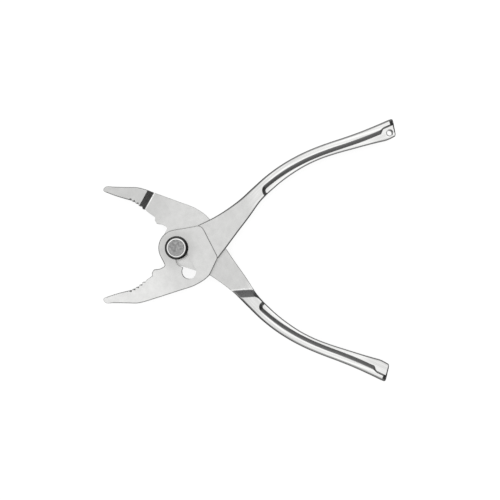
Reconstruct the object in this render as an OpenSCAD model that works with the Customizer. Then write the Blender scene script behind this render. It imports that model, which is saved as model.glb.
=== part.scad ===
// Slip joint pliers, open as they lie on a table, jaws towards -X.
// The origin is on the pivot axis at the underside, where the nut rests. +Z is up.
// Each half is drawn in its own frame: X along the closing line with the jaw towards -X,
// Y across it with the handle's bow towards +Y, and Z up from the plane where the halves meet.
// The pinned half is the same forging turned over.

/* [Overall] */
// Nose tip to the middle of the slot
jaw_len = 52.4; // [48:0.1:58]
// Handle end to the middle of the slot
back_len = 148; // [138:1:164]
// Depth of a jaw, from the closing line to its back
jaw_depth = 16.6; // [15.8:0.1:18]
// Height of the handle's bow over the closing line
bow_h = 24.4; // [22:0.1:27]
// Turn of the slotted half from the closing line, as it lies
slotted_turn = 27; // [20:0.1:32]
// Turn of the pinned half from the closing line, as it lies
pinned_turn = 29.2; // [22:0.1:34]

/* [Thickness] */
// Thickness of a half at the joint, from the mating plane to its ground face
plate_t = 4.8; // [4.2:0.1:5.6]
// Step down from the ground face to the handle neck
neck_step = 0.7; // [0.4:0.1:1.1]
// Running gap between the two mating faces
lap_gap = 0.1; // [0.06:0.01:0.2]
// Length of the slope where a half grows to its full thickness
ramp_len = 3.4; // [2.8:0.1:5]

/* [Joint] */
// Number of seats for the bolt
seat_count = 3; // [2:1:3]
// Distance from one seat to the next
seat_pitch = 7.9; // [7.2:0.1:8.1]
// Diameter of a seat
seat_d = 8.6; // [8:0.1:9.2]
// Height of the top seat over the closing line
top_seat_y = 8; // [7.6:0.1:9]
// From the slot's middle line to the tips of the cusps between the seats
cusp_reach = 2.4; // [2.1:0.1:2.8]
// Bolt hole of the pinned half, from the middle of its own slot place towards the handle
bolt_hole_x = 2.1; // [0:0.1:3]
// Bolt hole of the pinned half, over the closing line
bolt_hole_y = 9.3; // [8.6:0.1:10]
// Radius of a half's round head about its bolt
eye_r = 10.8; // [10:0.1:12]
// Plate's edge at the handle neck, from the middle of the slot
plate_end = 19.2; // [18:0.1:21]
// Rounding of the slotted half's plate corner at the neck
plate_corner = 3; // [2:0.1:4]
// Rounding of the pinned half's plate corner at the neck, which ends its edge across the slot
pinned_corner = 1.2; // [0.8:0.1:2]

/* [Bolt, washer and nut] */
// Diameter of the bolt head
head_d = 13.8; // [12.6:0.1:15]
// Height of the bolt head
head_h = 2; // [1.5:0.1:2.6]
// Width of the head's slope, from its rim to its flat top
head_slope = 1.4; // [0.8:0.1:2]
// Width of the bright rim round the sunk middle of the head
head_rim = 0.6; // [0.4:0.1:1]
// Depth of the sunk middle of the head
head_sink = 0.15; // [0.1:0.05:0.3]
// Thickness of the washer
washer_t = 0.5; // [0.4:0.1:0.8]
// Diameter of the washer
washer_d = 13.2; // [12:0.1:13.6]
// Width of the nut across its flats
nut_w = 12; // [11:0.1:13]
// Height of the nut
nut_h = 2.8; // [2.4:0.1:3.4]
// Diameter of the bolt's threaded end
thread_d = 6; // [5:0.1:6.5]
// Bevel of the nut's and the bolt end's edges
nut_bevel = 0.6; // [0.3:0.1:0.9]

/* [Jaw] */
// Number of coarse teeth in the hollow grip
tooth_count = 4; // [3:1:5]
// Pitch of the coarse teeth
tooth_pitch = 2.45; // [2.2:0.05:2.6]
// Depth of the coarse teeth
tooth_h = 1.2; // [0.8:0.1:1.4]
// First coarse tooth, from the middle of the slot towards the nose
grip_start = 27; // [26:0.1:28]
// Sag of the hollow grip under a straight line
grip_sag = 0.55; // [0.3:0.05:0.8]
// Pitch of the fine teeth on the nose
fine_pitch = 1.3; // [1.1:0.1:1.6]
// Depth of the fine teeth
fine_h = 0.3; // [0.2:0.05:0.4]
// Height of the wire cutter's shoulder over the closing line
cutter_h = 2.7; // [2.3:0.1:3]
// Height of the nose tip's edge over the closing line
nose_lift = 1.1; // [0.9:0.1:1.3]
// Start of the full thickness of the nose, from the middle of the slot
nose_start = 29.2; // [28.6:0.1:31]

/* [Handle] */
// Width of the thick outer rib of a handle
rib_w = 4.1; // [3.6:0.1:4.8]
// Width of the slope from the rib down to the web
wall_w = 1.8; // [1.4:0.1:2.2]
// Half of the web's thickness
web_half = 1.7; // [1.3:0.1:2.2]
// Rounding of the handle's edges
edge_r = 1.8; // [1:0.1:2]
// Hanging hole in the end of the slotted half's handle
hang_d = 3.2; // [2.6:0.1:4]
// Bevel round the hanging hole
hang_bevel = 0.5; // [0.3:0.1:0.7]
// Hanging hole from the end of the handle
hang_in = 4.6; // [4.2:0.1:5.6]
// Hanging hole over the closing line
hang_y = 11.6; // [11:0.1:12]

/* [Clearances] */
// Radial running clearance of the shank in a seat
seat_fit = 0.05; // [0.02:0.01:0.09]
// Clearance of the shank's flat past the cusps
flat_fit = 0.1; // [0.05:0.01:0.2]
// Radial clearance of the bolt in the pinned half and in the nut
still_fit = 0.02; // [0.01:0.01:0.04]
// Play between washer, head and plate
washer_fit = 0.04; // [0.02:0.01:0.1]

/* [Hidden] */
$fn = 96;
// Overrun of every cut past the faces that it opens
cut_over = 1;
mid_z = nut_h + plate_t;
top_z = mid_z + plate_t;
head_z = top_z + 2 * washer_fit + washer_t;
crest = plate_t - neck_step;
seat_r = seat_d / 2;
shank_r = seat_r - seat_fit;
flat_reach = cusp_reach - flat_fit;
thread_r = thread_d / 2;
nose_lap = nose_start - ramp_len;

// Back of the jaw, from the plate's lower corner to the nose: shares of jaw_len and jaw_depth
back_shares = [
    [-0.189, 0.914], [-0.115, 0.976], [-0.029, 1], [0.057, 0.988], [0.179, 0.924], [0.37, 0.828],
    [0.506, 0.757], [0.601, 0.705], [0.681, 0.633], [0.767, 0.49], [0.847, 0.355], [0.935, 0.212]
];
// Rounded nose tip: shares of jaw_len and nose_lift
tip_shares = [
    [0.969, -2.6], [0.987, -1.9], [0.998, -1], [1, -0.2], [0.995, 0.6], [0.984, 0.98], [0.974, 1]
];
// Handle edges: shares of back_len and bow_h
outer_shares = [
    [0.128, 0.582], [0.182, 0.578], [0.243, 0.609], [0.311, 0.68], [0.378, 0.793], [0.446, 0.902],
    [0.52, 0.975], [0.595, 1], [0.662, 0.984], [0.73, 0.937], [0.797, 0.875], [0.865, 0.822],
    [0.932, 0.787], [1, 0.762]
];
inner_shares = [
    [0.128, -0.348], [0.182, -0.191], [0.243, -0.006], [0.311, 0.192], [0.378, 0.405], [0.412, 0.485],
    [0.446, 0.541], [0.486, 0.602], [0.541, 0.657], [0.608, 0.69], [0.676, 0.674], [0.743, 0.614],
    [0.811, 0.53], [0.878, 0.444], [0.919, 0.386], [0.949, 0.344], [0.983, 0.338], [1.005, 0.338]
];
// Sections across the neck, slanting to the ramp: outer and inner end as shares of back_len, then
// the shares of full thickness, of the web's sinking, of the rib left and of the handle's width
neck_shares = [
    [0.088, 0.088, 0, 0, 1, 1], [0.128, 0.128, 0, 0, 1, 1], [0.182, 0.205, 0, 0, 1, 1],
    [0.24, 0.29, 0, 0, 1, 1], [0.293, 0.368, 0, 0, 1, 1], [0.323, 0.4, 1, 0, 1, 1],
    [0.385, 0.408, 1, 0, 1, 1], [0.412, 0.413, 1, 0.03, 1, 1], [0.417, 0.418, 1, 0.4, 1, 1],
    [0.424, 0.425, 1, 0.95, 1, 1]
];
tab_shares = [
    [0.938, 0.932, 1, 1, 1, 1], [0.959, 0.951, 1, 1, 1, 1], [0.973, 0.963, 1, 1, 1, 1],
    [0.985, 0.975, 1, 1, 1, 1], [0.997, 0.981, 1, 1, 0.5, 1], [1.004, 0.985, 1, 1, 0.15, 0.97],
    [1.0075, 0.9875, 1, 1, 0, 0.84]
];
// First and last of the even sections between the neck and the tab
even_from_share = 0.44;
even_to_share = 0.925;
even_count = 18;
// Where the rib narrows to the tab, and the width that it keeps there
tab_from_share = 0.937;
tab_full_share = 0.959;
tab_rib_share = 0.78;
tab_wall_share = 0.55;

// Smooth curve through a table of x and y, each span a cubic with the chord of its neighbours
function slope_at(t, i) = let(a = max(i - 1, 0), b = min(i + 1, len(t) - 1))
    (t[b][1] - t[a][1]) / (t[b][0] - t[a][0]);
function span_of(t, x, i = 0) = i >= len(t) - 2 || x < t[i + 1][0] ? i : span_of(t, x, i + 1);
function hermite(y0, y1, m0, m1, w, u) = let(v = 1 - u)
    y0 * v * v * (1 + 2 * u) + y1 * u * u * (3 - 2 * u) + w * u * v * (m0 * v - m1 * u);
function along(t, x0) = let(
    x = min(max(x0, t[0][0]), t[len(t) - 1][0]),
    i = span_of(t, x),
    w = t[i + 1][0] - t[i][0]
) hermite(t[i][1], t[i + 1][1], slope_at(t, i), slope_at(t, i + 1), w, (x - t[i][0]) / w);
function mix(a, b, u) = a + (b - a) * u;
function ramp_up(x, a, b) = min(max((x - a) / (b - a), 0), 1);

// Smooth closed or open line through points, with the given number of steps a span
function knot(p, i) = p[min(max(i, 0), len(p) - 1)];
function bend(a, b, c, d, u) = 0.5 * ((2 * b) + (c - a) * u + (2 * a - 5 * b + 4 * c - d) * u * u
    + (3 * b - a - 3 * c + d) * u * u * u);
function smooth(p, n) = [
    for (i = [0:len(p) - 2], k = [0:n - 1]) bend(knot(p, i - 1), p[i], p[i + 1], knot(p, i + 2), k / n)
];
function arc(c, r, a0, a1, n) = [for (k = [0:n]) c + r * [cos(mix(a0, a1, k / n)), sin(mix(a0, a1, k / n))]];
function corner(a, b, c, n) = [for (k = [0:n]) let(u = k / n) (1 - u) * (1 - u) * a + 2 * u * (1 - u) * b + u * u * c];

// Coarse teeth lie on a hollow line that runs from the grip's start to the nose
nose_from = grip_start + tooth_count * tooth_pitch;
grip_top_y = -nose_lift * 0.8;
grip_nose_y = -nose_lift * 1.5;
function grip_y(u) = mix(grip_top_y, grip_nose_y, u) - grip_sag * sin(180 * u);
function coarse_teeth() = [
    for (i = [0:tooth_count - 1]) let(u = i / tooth_count, v = (i + 0.5) / tooth_count)
    each [
        [-grip_start - i * tooth_pitch, grip_y(u)],
        [-grip_start - (i + 0.5) * tooth_pitch, grip_y(v) - tooth_h]
    ]
];
// Fine teeth lie on the slightly crowned nose
nose_to = jaw_len * 0.965;
fine_count = floor((nose_to - nose_from) / fine_pitch);
function nose_y(x) = let(u = (x - nose_from) / (nose_to - nose_from)) mix(grip_nose_y, nose_lift, u * (1.35 - 0.35 * u));
function fine_teeth() = [
    for (i = [0:fine_count - 1]) let(x = nose_from + i * fine_pitch)
    each [[-x, nose_y(x)], [-x - fine_pitch / 2, nose_y(x + fine_pitch / 2) - fine_h]]
];
// Cutter shoulder beside the head, which goes with the bolt: shares of grip_start and cutter_h
cutter_shares = [[0.53, 0.56], [0.57, 0.66], [0.66, 1], [0.73, 0.55], [0.752, -0.05]];
// Back of the hollow grip: shares of grip_start and cutter_h
heel_shares = [[0.9, -0.3], [0.955, -0.6]];

// Outline of a half's jaw and plate, with its round head about the bolt at eye, and the rounding of
// its corner at the neck
function plate_outline(eye, round_r) = let(
    corner_y = bow_h * along(outer_shares, plate_end / back_len),
    low_y = bow_h * along(inner_shares, plate_end / back_len),
    out = [plate_end - round_r, corner_y + plate_corner * 0.16] - eye,
    rise = atan2(out[1], out[0]) + acos(eye_r / norm(out)),
    side = eye[0] - eye_r,
    foot = cutter_shares[0][1] * cutter_h
) concat(
    [[plate_end, low_y + plate_corner * 0.6], [plate_end - plate_corner * 0.15, low_y]],
    smooth([for (s = back_shares) [-s[0] * jaw_len, -s[1] * jaw_depth]], 3),
    smooth([for (s = tip_shares) [-s[0] * jaw_len, s[1] * nose_lift]], 2),
    [[-nose_to, nose_lift]],
    [for (i = [1:2 * fine_count]) fine_teeth()[2 * fine_count - i]],
    [[-nose_from, grip_nose_y]],
    [for (i = [1:2 * tooth_count]) coarse_teeth()[2 * tooth_count - i]],
    [for (i = [1:len(heel_shares)]) let(s = heel_shares[len(heel_shares) - i])
        [-s[0] * grip_start, s[1] * cutter_h]],
    [for (i = [1:len(cutter_shares)]) let(s = cutter_shares[len(cutter_shares) - i])
        [eye[0] - s[0] * grip_start, s[1] * cutter_h]],
    corner([side - plate_corner / 2, foot], [side, foot], [side, foot + plate_corner / 2], 4),
    arc(eye, eye_r, 180, rise, 28),
    corner(eye + out, [plate_end, corner_y], [plate_end, corner_y - round_r], 6)
);

// One handle section from its inner to its outer edge: [place across, height], face side first. The
// inner edge's rounding stays within the web
function section(w, rib, wall, top, web, low, low_web, r, low_r) = let(
    e = min(r, w - rib - wall),
    low_e = min(low_r, w - rib - wall)
) [
    [0, mix(low_web, web, 0.7)], [e * 0.3, web - e * 0.2], [e * 0.8, web],
    [w - rib - wall, web], [w - rib - wall * 0.6, mix(web, top, 0.25)], [w - rib, top],
    [w - r, top], [w - r * 0.3, top - r * 0.3], [w, top - r],
    [w, low + low_r], [w - low_r * 0.3, low + low_r * 0.3], [w - low_r, low],
    [w - rib, low], [w - rib - wall * 0.6, mix(low_web, low, 0.25)], [w - rib - wall, low_web],
    [low_e * 0.8, low_web], [low_e * 0.3, low_web + low_e * 0.2], [0, mix(low_web, web, 0.3)]
];
function ring(st) = let(
    outer = [st[0] * back_len, bow_h * along(outer_shares, st[0])],
    inner = [st[1] * back_len, bow_h * along(inner_shares, st[1])],
    full = norm(outer - inner),
    dir = (outer - inner) / full,
    w = full * st[5],
    start = inner + dir * (full - w) / 2,
    thin = ramp_up(st[0], tab_from_share, tab_full_share),
    rib = rib_w * mix(1, tab_rib_share, thin),
    wall = wall_w * mix(1, tab_wall_share, thin),
    top = mix(web_half, crest, st[4]),
    web = mix(crest, web_half, st[3]),
    low = mix(lap_gap / 2, -top, st[2]),
    low_web = mix(lap_gap / 2, -web, st[2])
) [for (q = section(w, rib, wall, top, web, low, low_web, edge_r, edge_r * st[2]))
    [start[0] + dir[0] * q[0], start[1] + dir[1] * q[0], q[1]]];
stations = concat(
    neck_shares,
    [for (i = [0:even_count]) let(s = mix(even_from_share, even_to_share, i / even_count)) [s, s, 1, 1, 1, 1]],
    tab_shares
);

// Handle from inside the plate to the tab, one skin over all its sections
module handle() {
    rings = [for (st = stations) ring(st)];
    n = len(rings[0]);
    last = len(rings) - 1;
    points = [for (r = rings) each r];
    sides = [
        for (i = [0:last - 1], j = [0:n - 1]) let(
            a = i * n + j,
            b = i * n + (j + 1) % n,
            c = a + n,
            d = b + n
        ) each [[a, b, d], [a, d, c]]
    ];
    ends = [[for (j = [0:n - 1]) n - 1 - j], [for (j = [0:n - 1]) last * n + j]];
    polyhedron(points, concat(sides, ends));
}

// Space of the other half's lap: open under the mating plane from the nose ramp to past the plate
module lap_space() {
    reach = jaw_depth + bow_h;
    low = -plate_t - cut_over;
    high = lap_gap / 2;
    slope = (high - low) / (plate_t + high);
    rotate([90, 0, 0])
        translate([0, 0, -reach])
            linear_extrude(height = 2 * reach)
                polygon([
                    [-nose_lap, high], [-nose_lap - ramp_len * slope, low],
                    [plate_end + cut_over, low], [plate_end + cut_over, high]
                ]);
}

// One forging without its hole or slot
module forging(eye, round_r) {
    difference() {
        translate([0, 0, -plate_t])
            linear_extrude(height = 2 * plate_t)
                polygon(plate_outline(eye, round_r));
        lap_space();
    }
    handle();
}

module slotted_place() {
    translate([0, 0, mid_z])
        rotate([0, 0, slotted_turn])
            translate([0, -top_seat_y, 0])
                children();
}

module pinned_place() {
    translate([0, 0, mid_z])
        rotate([180, 0, -pinned_turn])
            translate([-bolt_hole_x, -bolt_hole_y, 0])
                children();
}

// Round seats in a row, with one straight wall and one wall of cusps
module slot() {
    tall = plate_t + 2 * cut_over;
    low_y = top_seat_y - (seat_count - 1) * seat_pitch;
    for (i = [0:seat_count - 1])
        translate([0, top_seat_y - i * seat_pitch, -cut_over])
            cylinder(h = tall, r = seat_r);
    translate([-cusp_reach, low_y, -cut_over])
        cube([cusp_reach + seat_r + seat_fit, top_seat_y - low_y, tall]);
}

module hanging_hole() {
    translate([back_len - hang_in, hang_y, 0]) {
        cylinder(h = 2 * (web_half + cut_over), r = hang_d / 2, center = true);
        for (side = [0, 180])
            rotate([side, 0, 0])
                translate([0, 0, web_half - 2 * hang_bevel])
                    cylinder(h = 3 * hang_bevel, r1 = hang_d / 2 - hang_bevel, r2 = hang_d / 2 + 2 * hang_bevel);
    }
}

// Round shank with one flat, which faces the cusps while the halves stand as they lie
module flat_shank(z0, z1, r, reach) {
    intersection() {
        translate([0, 0, z0])
            cylinder(h = z1 - z0, r = r);
        rotate([0, 0, slotted_turn])
            translate([-reach, -2 * r, z0 - cut_over])
                cube([reach + 2 * r, 4 * r, z1 - z0 + 2 * cut_over]);
    }
}

module slotted_half() {
    color("gainsboro")
        slotted_place()
            difference() {
                forging([0, top_seat_y], plate_corner);
                slot();
                hanging_hole();
            }
}

module pinned_half() {
    color("lightgray")
        difference() {
            pinned_place()
                forging([bolt_hole_x, bolt_hole_y], pinned_corner);
            flat_shank(nut_h - cut_over, mid_z + cut_over, shank_r + still_fit, flat_reach + still_fit);
        }
}

module pivot_bolt() {
    rim_r = head_d / 2 - head_slope;
    sunk_r = rim_r - head_rim;
    color("dimgray") {
        cylinder(h = nut_h, r = thread_r);
        flat_shank(nut_h, head_z, shank_r, flat_reach);
        translate([0, 0, head_z])
            rotate_extrude()
                polygon([
                    [0, 0], [head_d / 2 - head_sink, 0], [head_d / 2, head_sink], [head_d / 2, 2 * head_sink],
                    [rim_r, head_h], [sunk_r, head_h], [sunk_r - head_sink, head_h - head_sink],
                    [0, head_h - head_sink]
                ]);
    }
}

module pivot_washer() {
    color("silver")
        translate([0, 0, top_z + washer_fit])
            difference() {
                cylinder(h = washer_t, r = washer_d / 2);
                translate([0, 0, -cut_over])
                    cylinder(h = washer_t + 2 * cut_over, r = seat_r);
            }
}

module pivot_nut() {
    across_corners = nut_w / cos(30);
    color("darkgray")
        rotate([0, 0, -pinned_turn])
            difference() {
                intersection() {
                    cylinder(h = nut_h, d = across_corners, $fn = 6);
                    rotate_extrude()
                        polygon([
                            [0, 0], [nut_w / 2, 0], [across_corners / 2, nut_bevel],
                            [across_corners / 2, nut_h], [0, nut_h]
                        ]);
                }
                translate([0, 0, -cut_over])
                    cylinder(h = nut_h + 2 * cut_over, r = thread_r + still_fit);
            }
}

slotted_half();
pinned_half();
pivot_bolt();
pivot_washer();
pivot_nut();
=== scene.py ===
"""Slip joint pliers: plated steel halves, bolt, washer and nut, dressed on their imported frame.

Shapes are worked out in millimetres in a half's own plan: X along the closing line with the jaw
towards -X, Y across it with the handle's bow towards +Y, Z up from the plane where the halves meet.
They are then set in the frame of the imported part, in metres.
"""

import logging
import math
from dataclasses import dataclass, field
from enum import Enum

import bmesh
import bpy
import numpy as np
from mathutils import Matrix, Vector


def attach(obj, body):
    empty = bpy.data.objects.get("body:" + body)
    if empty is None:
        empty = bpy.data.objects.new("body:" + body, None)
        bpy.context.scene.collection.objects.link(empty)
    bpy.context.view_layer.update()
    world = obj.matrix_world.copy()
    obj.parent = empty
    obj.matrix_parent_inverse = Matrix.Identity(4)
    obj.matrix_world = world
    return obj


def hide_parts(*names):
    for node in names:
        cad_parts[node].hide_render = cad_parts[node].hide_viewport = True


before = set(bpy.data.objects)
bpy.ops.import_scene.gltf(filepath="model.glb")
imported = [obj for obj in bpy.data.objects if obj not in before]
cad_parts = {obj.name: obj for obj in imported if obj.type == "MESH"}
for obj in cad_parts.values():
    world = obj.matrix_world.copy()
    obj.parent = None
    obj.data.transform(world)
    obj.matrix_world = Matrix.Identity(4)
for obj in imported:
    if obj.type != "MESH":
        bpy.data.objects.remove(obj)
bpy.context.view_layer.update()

log = logging.getLogger("pliers")
# Lengths are worked out in millimetres, and one is this many metres
MM = 0.001
# Cuts with straight walls run this far past what they cut
CUT_OVER = 1.0
# Points and slivers closer together than this are welded
WELD = 1e-3
Table = tuple[tuple[float, float], ...]
Rows = list[tuple[np.ndarray | float, np.ndarray | float]]
Faces = list[tuple[int, ...]]


class Cut(Enum):
    """How one closed shape works on another."""

    JOIN = "UNION"
    REMOVE = "DIFFERENCE"


class Body(Enum):
    """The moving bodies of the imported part."""

    PINNED = "pinned_side"
    SLOTTED = "slotted_side"
    WASHER = "washer"


# Curves and profiles


def along(table: Table, x: np.ndarray) -> np.ndarray:
    """Smooth curve through a table of x and y: each span is a cubic with its neighbours' chord slopes.

    Args:
        table: Rows of x and y, x rising.
        x: Places to read, held inside the table's ends.

    Returns:
        The curve's y at each place.
    """
    t = np.array(table, float)
    x = np.clip(np.asarray(x, float), t[0, 0], t[-1, 0])
    i = np.clip(np.searchsorted(t[:, 0], x, side="right") - 1, 0, len(t) - 2)
    before = np.maximum(np.arange(len(t)) - 1, 0)
    after = np.minimum(np.arange(len(t)) + 1, len(t) - 1)
    slope = (t[after, 1] - t[before, 1]) / (t[after, 0] - t[before, 0])
    width = t[i + 1, 0] - t[i, 0]
    u = (x - t[i, 0]) / width
    v = 1 - u
    ends = t[i, 1] * v * v * (1 + 2 * u) + t[i + 1, 1] * u * u * (3 - 2 * u)
    return ends + width * u * v * (slope[i] * v - slope[i + 1] * u)


def smooth(points: np.ndarray, steps: int) -> np.ndarray:
    """Line that bends through points: each span is the usual cubic of its four nearest points.

    Args:
        points: Rows of x and y.
        steps: Points made in each span. The last point itself is left out.

    Returns:
        Rows of x and y.
    """
    last = len(points) - 1
    i = np.repeat(np.arange(last), steps)
    u = np.tile(np.arange(steps) / steps, last)[:, None]
    a, b = points[np.maximum(i - 1, 0)], points[i]
    c, d = points[i + 1], points[np.minimum(i + 2, last)]
    return 0.5 * (2 * b + (c - a) * u + (2 * a - 5 * b + 4 * c - d) * u**2 + (3 * b - a - 3 * c + d) * u**3)


def arc(centre: np.ndarray, radius: float, start: float, stop: float, steps: int) -> np.ndarray:
    """Points on a circle from one angle to another.

    Args:
        centre: Middle of the circle.
        radius: Its radius.
        start: First angle in degrees.
        stop: Last angle in degrees.
        steps: Number of spans.

    Returns:
        Rows of x and y.
    """
    angle = np.radians(np.linspace(start, stop, steps + 1))
    return np.asarray(centre) + radius * np.stack([np.cos(angle), np.sin(angle)], axis=1)


def corner(a: np.ndarray, b: np.ndarray, c: np.ndarray, steps: int) -> np.ndarray:
    """Quadratic curve from a to c that is drawn towards b.

    Args:
        a: First point.
        b: Corner that rounds off.
        c: Last point.
        steps: Number of spans.

    Returns:
        Rows of x and y.
    """
    u = np.linspace(0, 1, steps + 1)[:, None]
    return (1 - u) ** 2 * np.asarray(a) + 2 * u * (1 - u) * np.asarray(b) + u**2 * np.asarray(c)


def ease(x: np.ndarray, start: float, stop: float) -> np.ndarray:
    """Share from 0 at start to 1 at stop, level at both ends."""
    u = np.clip((np.asarray(x, float) - start) / (stop - start), 0, 1)
    return u * u * (3 - 2 * u)


def ramp(x: np.ndarray, start: float, stop: float) -> np.ndarray:
    """Share from 0 at start to 1 at stop in a straight line."""
    return np.clip((np.asarray(x, float) - start) / (stop - start), 0, 1)


def quarter(u: np.ndarray) -> np.ndarray:
    """Drop of a quarter round as a share of its height, from 1 at its edge to 0 at its crown."""
    return 1 - np.sqrt(np.clip(1 - (1 - np.clip(u, 0, 1)) ** 2, 0, 1))


def quarter_turn(count: int) -> np.ndarray:
    """Evenly spaced angles from 0 to 90 degrees, in radians."""
    return np.radians(np.linspace(0, 90, count))


def soft_ramp(way: np.ndarray, length: float, blend: float) -> np.ndarray:
    """Share from 0 to 1 over a straight slope whose foot and top are rounded by parabolas.

    Args:
        way: Distance from the slope's foot.
        length: Length of the slope.
        blend: Half of the length of each parabola.

    Returns:
        The difference of two bent lines, one from the foot and one from the top, over the length.
    """
    lines = [np.asarray(way, float), np.asarray(way, float) - length]
    bent = [np.where(x > blend, x, np.clip(x + blend, 0, None) ** 2 / (4 * blend)) for x in lines]
    return (bent[0] - bent[1]) / length


def rounded_depth(a: np.ndarray, b: np.ndarray, radius: float) -> np.ndarray:
    """Depth inside two straight borders that meet in a round corner.

    Near the corner it is the radius less the distance to the corner's middle, and elsewhere it is the
    smaller of the two depths.

    Args:
        a: Depth inside the first border.
        b: Depth inside the second border.
        radius: Radius of the corner.

    Returns:
        The depth at each place, below zero outside.
    """
    near = (a < radius) & (b < radius)
    return np.where(near, radius - np.hypot(radius - a, radius - b), np.minimum(a, b))


def inset(outline: np.ndarray, depth: np.ndarray, least: float = 0.45) -> np.ndarray:
    """Moves a closed outline inwards. Each point goes along the mitre of its two edges.

    Args:
        outline: Rows of x and y, anticlockwise.
        depth: How far in, one value or one a point.
        least: Limit that keeps the mitre of a sharp corner short.

    Returns:
        The moved outline.
    """
    edge = np.roll(outline, -1, axis=0) - outline
    edge /= np.linalg.norm(edge, axis=1)[:, None]
    inward = np.stack([-edge[:, 1], edge[:, 0]], axis=1)
    before = np.roll(inward, 1, axis=0)
    spread = 1 + np.sum(inward * before, axis=1)
    mitre = (inward + before) / np.maximum(spread, least)[:, None]
    return outline + mitre * np.broadcast_to(np.asarray(depth, float), len(outline))[:, None]


def turned(points: np.ndarray, degrees: float) -> np.ndarray:
    """Turns rows of x and y about the origin, anticlockwise."""
    c, s = math.cos(math.radians(degrees)), math.sin(math.radians(degrees))
    return points @ np.array([[c, s], [-s, c]])


# Meshes


def tube(rings: np.ndarray) -> tuple[np.ndarray, Faces]:
    """Closed skin over a stack of rings, with a flat face at each end.

    Args:
        rings: Array of rings, points and x, y, z. Ring points run anticlockwise seen from the last ring.

    Returns:
        Points, and faces as tuples of point numbers that face outwards.
    """
    count, size = rings.shape[:2]
    i, j = np.meshgrid(np.arange(count - 1), np.arange(size), indexing="ij")
    k = (j + 1) % size
    quads = np.stack([i * size + j, i * size + k, (i + 1) * size + k, (i + 1) * size + j], axis=-1)
    faces = [tuple(q) for q in quads.reshape(-1, 4).tolist()]
    faces.append(tuple(range(size - 1, -1, -1)))
    faces.append(tuple(range((count - 1) * size, count * size)))
    return rings.reshape(-1, 3), faces


def shape(name: str, points: np.ndarray, faces: Faces) -> bpy.types.Object:
    """Puts points and faces into a new object of the scene.

    Args:
        name: Name of the piece.
        points: Rows of x, y and z.
        faces: Tuples of point numbers.

    Returns:
        The new object.
    """
    mesh = bpy.data.meshes.new(name)
    mesh.from_pydata(np.asarray(points, float).tolist(), [], faces)
    mesh.validate()
    mesh.update()
    made = bpy.data.objects.new(name, mesh)
    bpy.context.scene.collection.objects.link(made)
    return made


def level_stack(name: str, levels: list[tuple[np.ndarray, np.ndarray | float]]) -> bpy.types.Object:
    """Closed shape from outlines at rising heights.

    Args:
        name: Name of the shape.
        levels: Each level's outline, anticlockwise, and its height, one value or one a point.

    Returns:
        The new object.
    """
    rings = [np.column_stack([line, np.broadcast_to(z, len(line))]) for line, z in levels]
    return shape(name, *tube(np.array(rings)))


def carve(body: bpy.types.Object, tool: bpy.types.Object, cut: Cut) -> None:
    """Joins a closed shape to a body or takes it away. The tool is used up.

    Args:
        body: The shape that changes.
        tool: The shape that works on it.
        cut: Whether it joins or removes.
    """
    step = body.modifiers.new(cut.name, "BOOLEAN")
    step.object = tool
    step.operation = cut.value
    step.solver = "EXACT"
    graph = bpy.context.evaluated_depsgraph_get()
    made = bpy.data.meshes.new_from_object(body.evaluated_get(graph))
    body.modifiers.clear()
    old = body.data
    body.data = made
    name = old.name
    bpy.data.meshes.remove(old)
    made.name = name
    spent = tool.data
    bpy.data.objects.remove(tool)
    bpy.data.meshes.remove(spent)


def rows_of(items: bpy.types.bpy_prop_collection, what: str) -> np.ndarray:
    """Reads one vector of every point or face of a mesh.

    Args:
        items: Points or faces.
        what: Name of the vector, such as "co" or "normal".

    Returns:
        Rows of x, y and z.
    """
    flat = np.zeros(len(items) * 3)
    items.foreach_get(what, flat)
    return flat.reshape(-1, 3)


def places(piece: bpy.types.Object) -> np.ndarray:
    """Reads the places of all points of a piece as rows of x, y and z."""
    return rows_of(piece.data.vertices, "co")


def put(piece: bpy.types.Object, points: np.ndarray) -> None:
    """Writes the places of all points of a piece."""
    piece.data.vertices.foreach_set("co", np.ascontiguousarray(points, np.float32).ravel())
    piece.data.update()


def finish_shape(piece: bpy.types.Object, sharp_deg: float = 28.0) -> None:
    """Welds loose seams and hairline cracks, turns faces outwards and shades smoothly up to an angle.

    Args:
        piece: The piece to finish.
        sharp_deg: Edges that turn more than this stay crisp.
    """
    work = bmesh.new()
    work.from_mesh(piece.data)
    bmesh.ops.remove_doubles(work, verts=work.verts, dist=WELD)
    bmesh.ops.holes_fill(work, edges=[edge for edge in work.edges if len(edge.link_faces) == 1])
    bmesh.ops.dissolve_degenerate(work, edges=work.edges, dist=WELD)
    bmesh.ops.delete(work, geom=[edge for edge in work.edges if edge.is_wire], context="EDGES")
    bmesh.ops.recalc_face_normals(work, faces=work.faces)
    work.to_mesh(piece.data)
    work.free()
    piece.data.polygons.foreach_set("use_smooth", np.ones(len(piece.data.polygons), bool))
    piece.data.set_sharp_from_angle(angle=math.radians(sharp_deg))
    level = piece.modifiers.new("even_shading", "WEIGHTED_NORMAL")
    level.keep_sharp = True
    level.weight = 50


# Materials


def linear(hex_colour: str) -> tuple[float, float, float, float]:
    """Turns an sRGB colour such as "#C8C8C6" into linear red, green, blue and alpha."""
    parts = [int(hex_colour[i:i + 2], 16) / 255 for i in (1, 3, 5)]
    return (*[c / 12.92 if c <= 0.04045 else ((c + 0.055) / 1.055) ** 2.4 for c in parts], 1.0)


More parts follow.
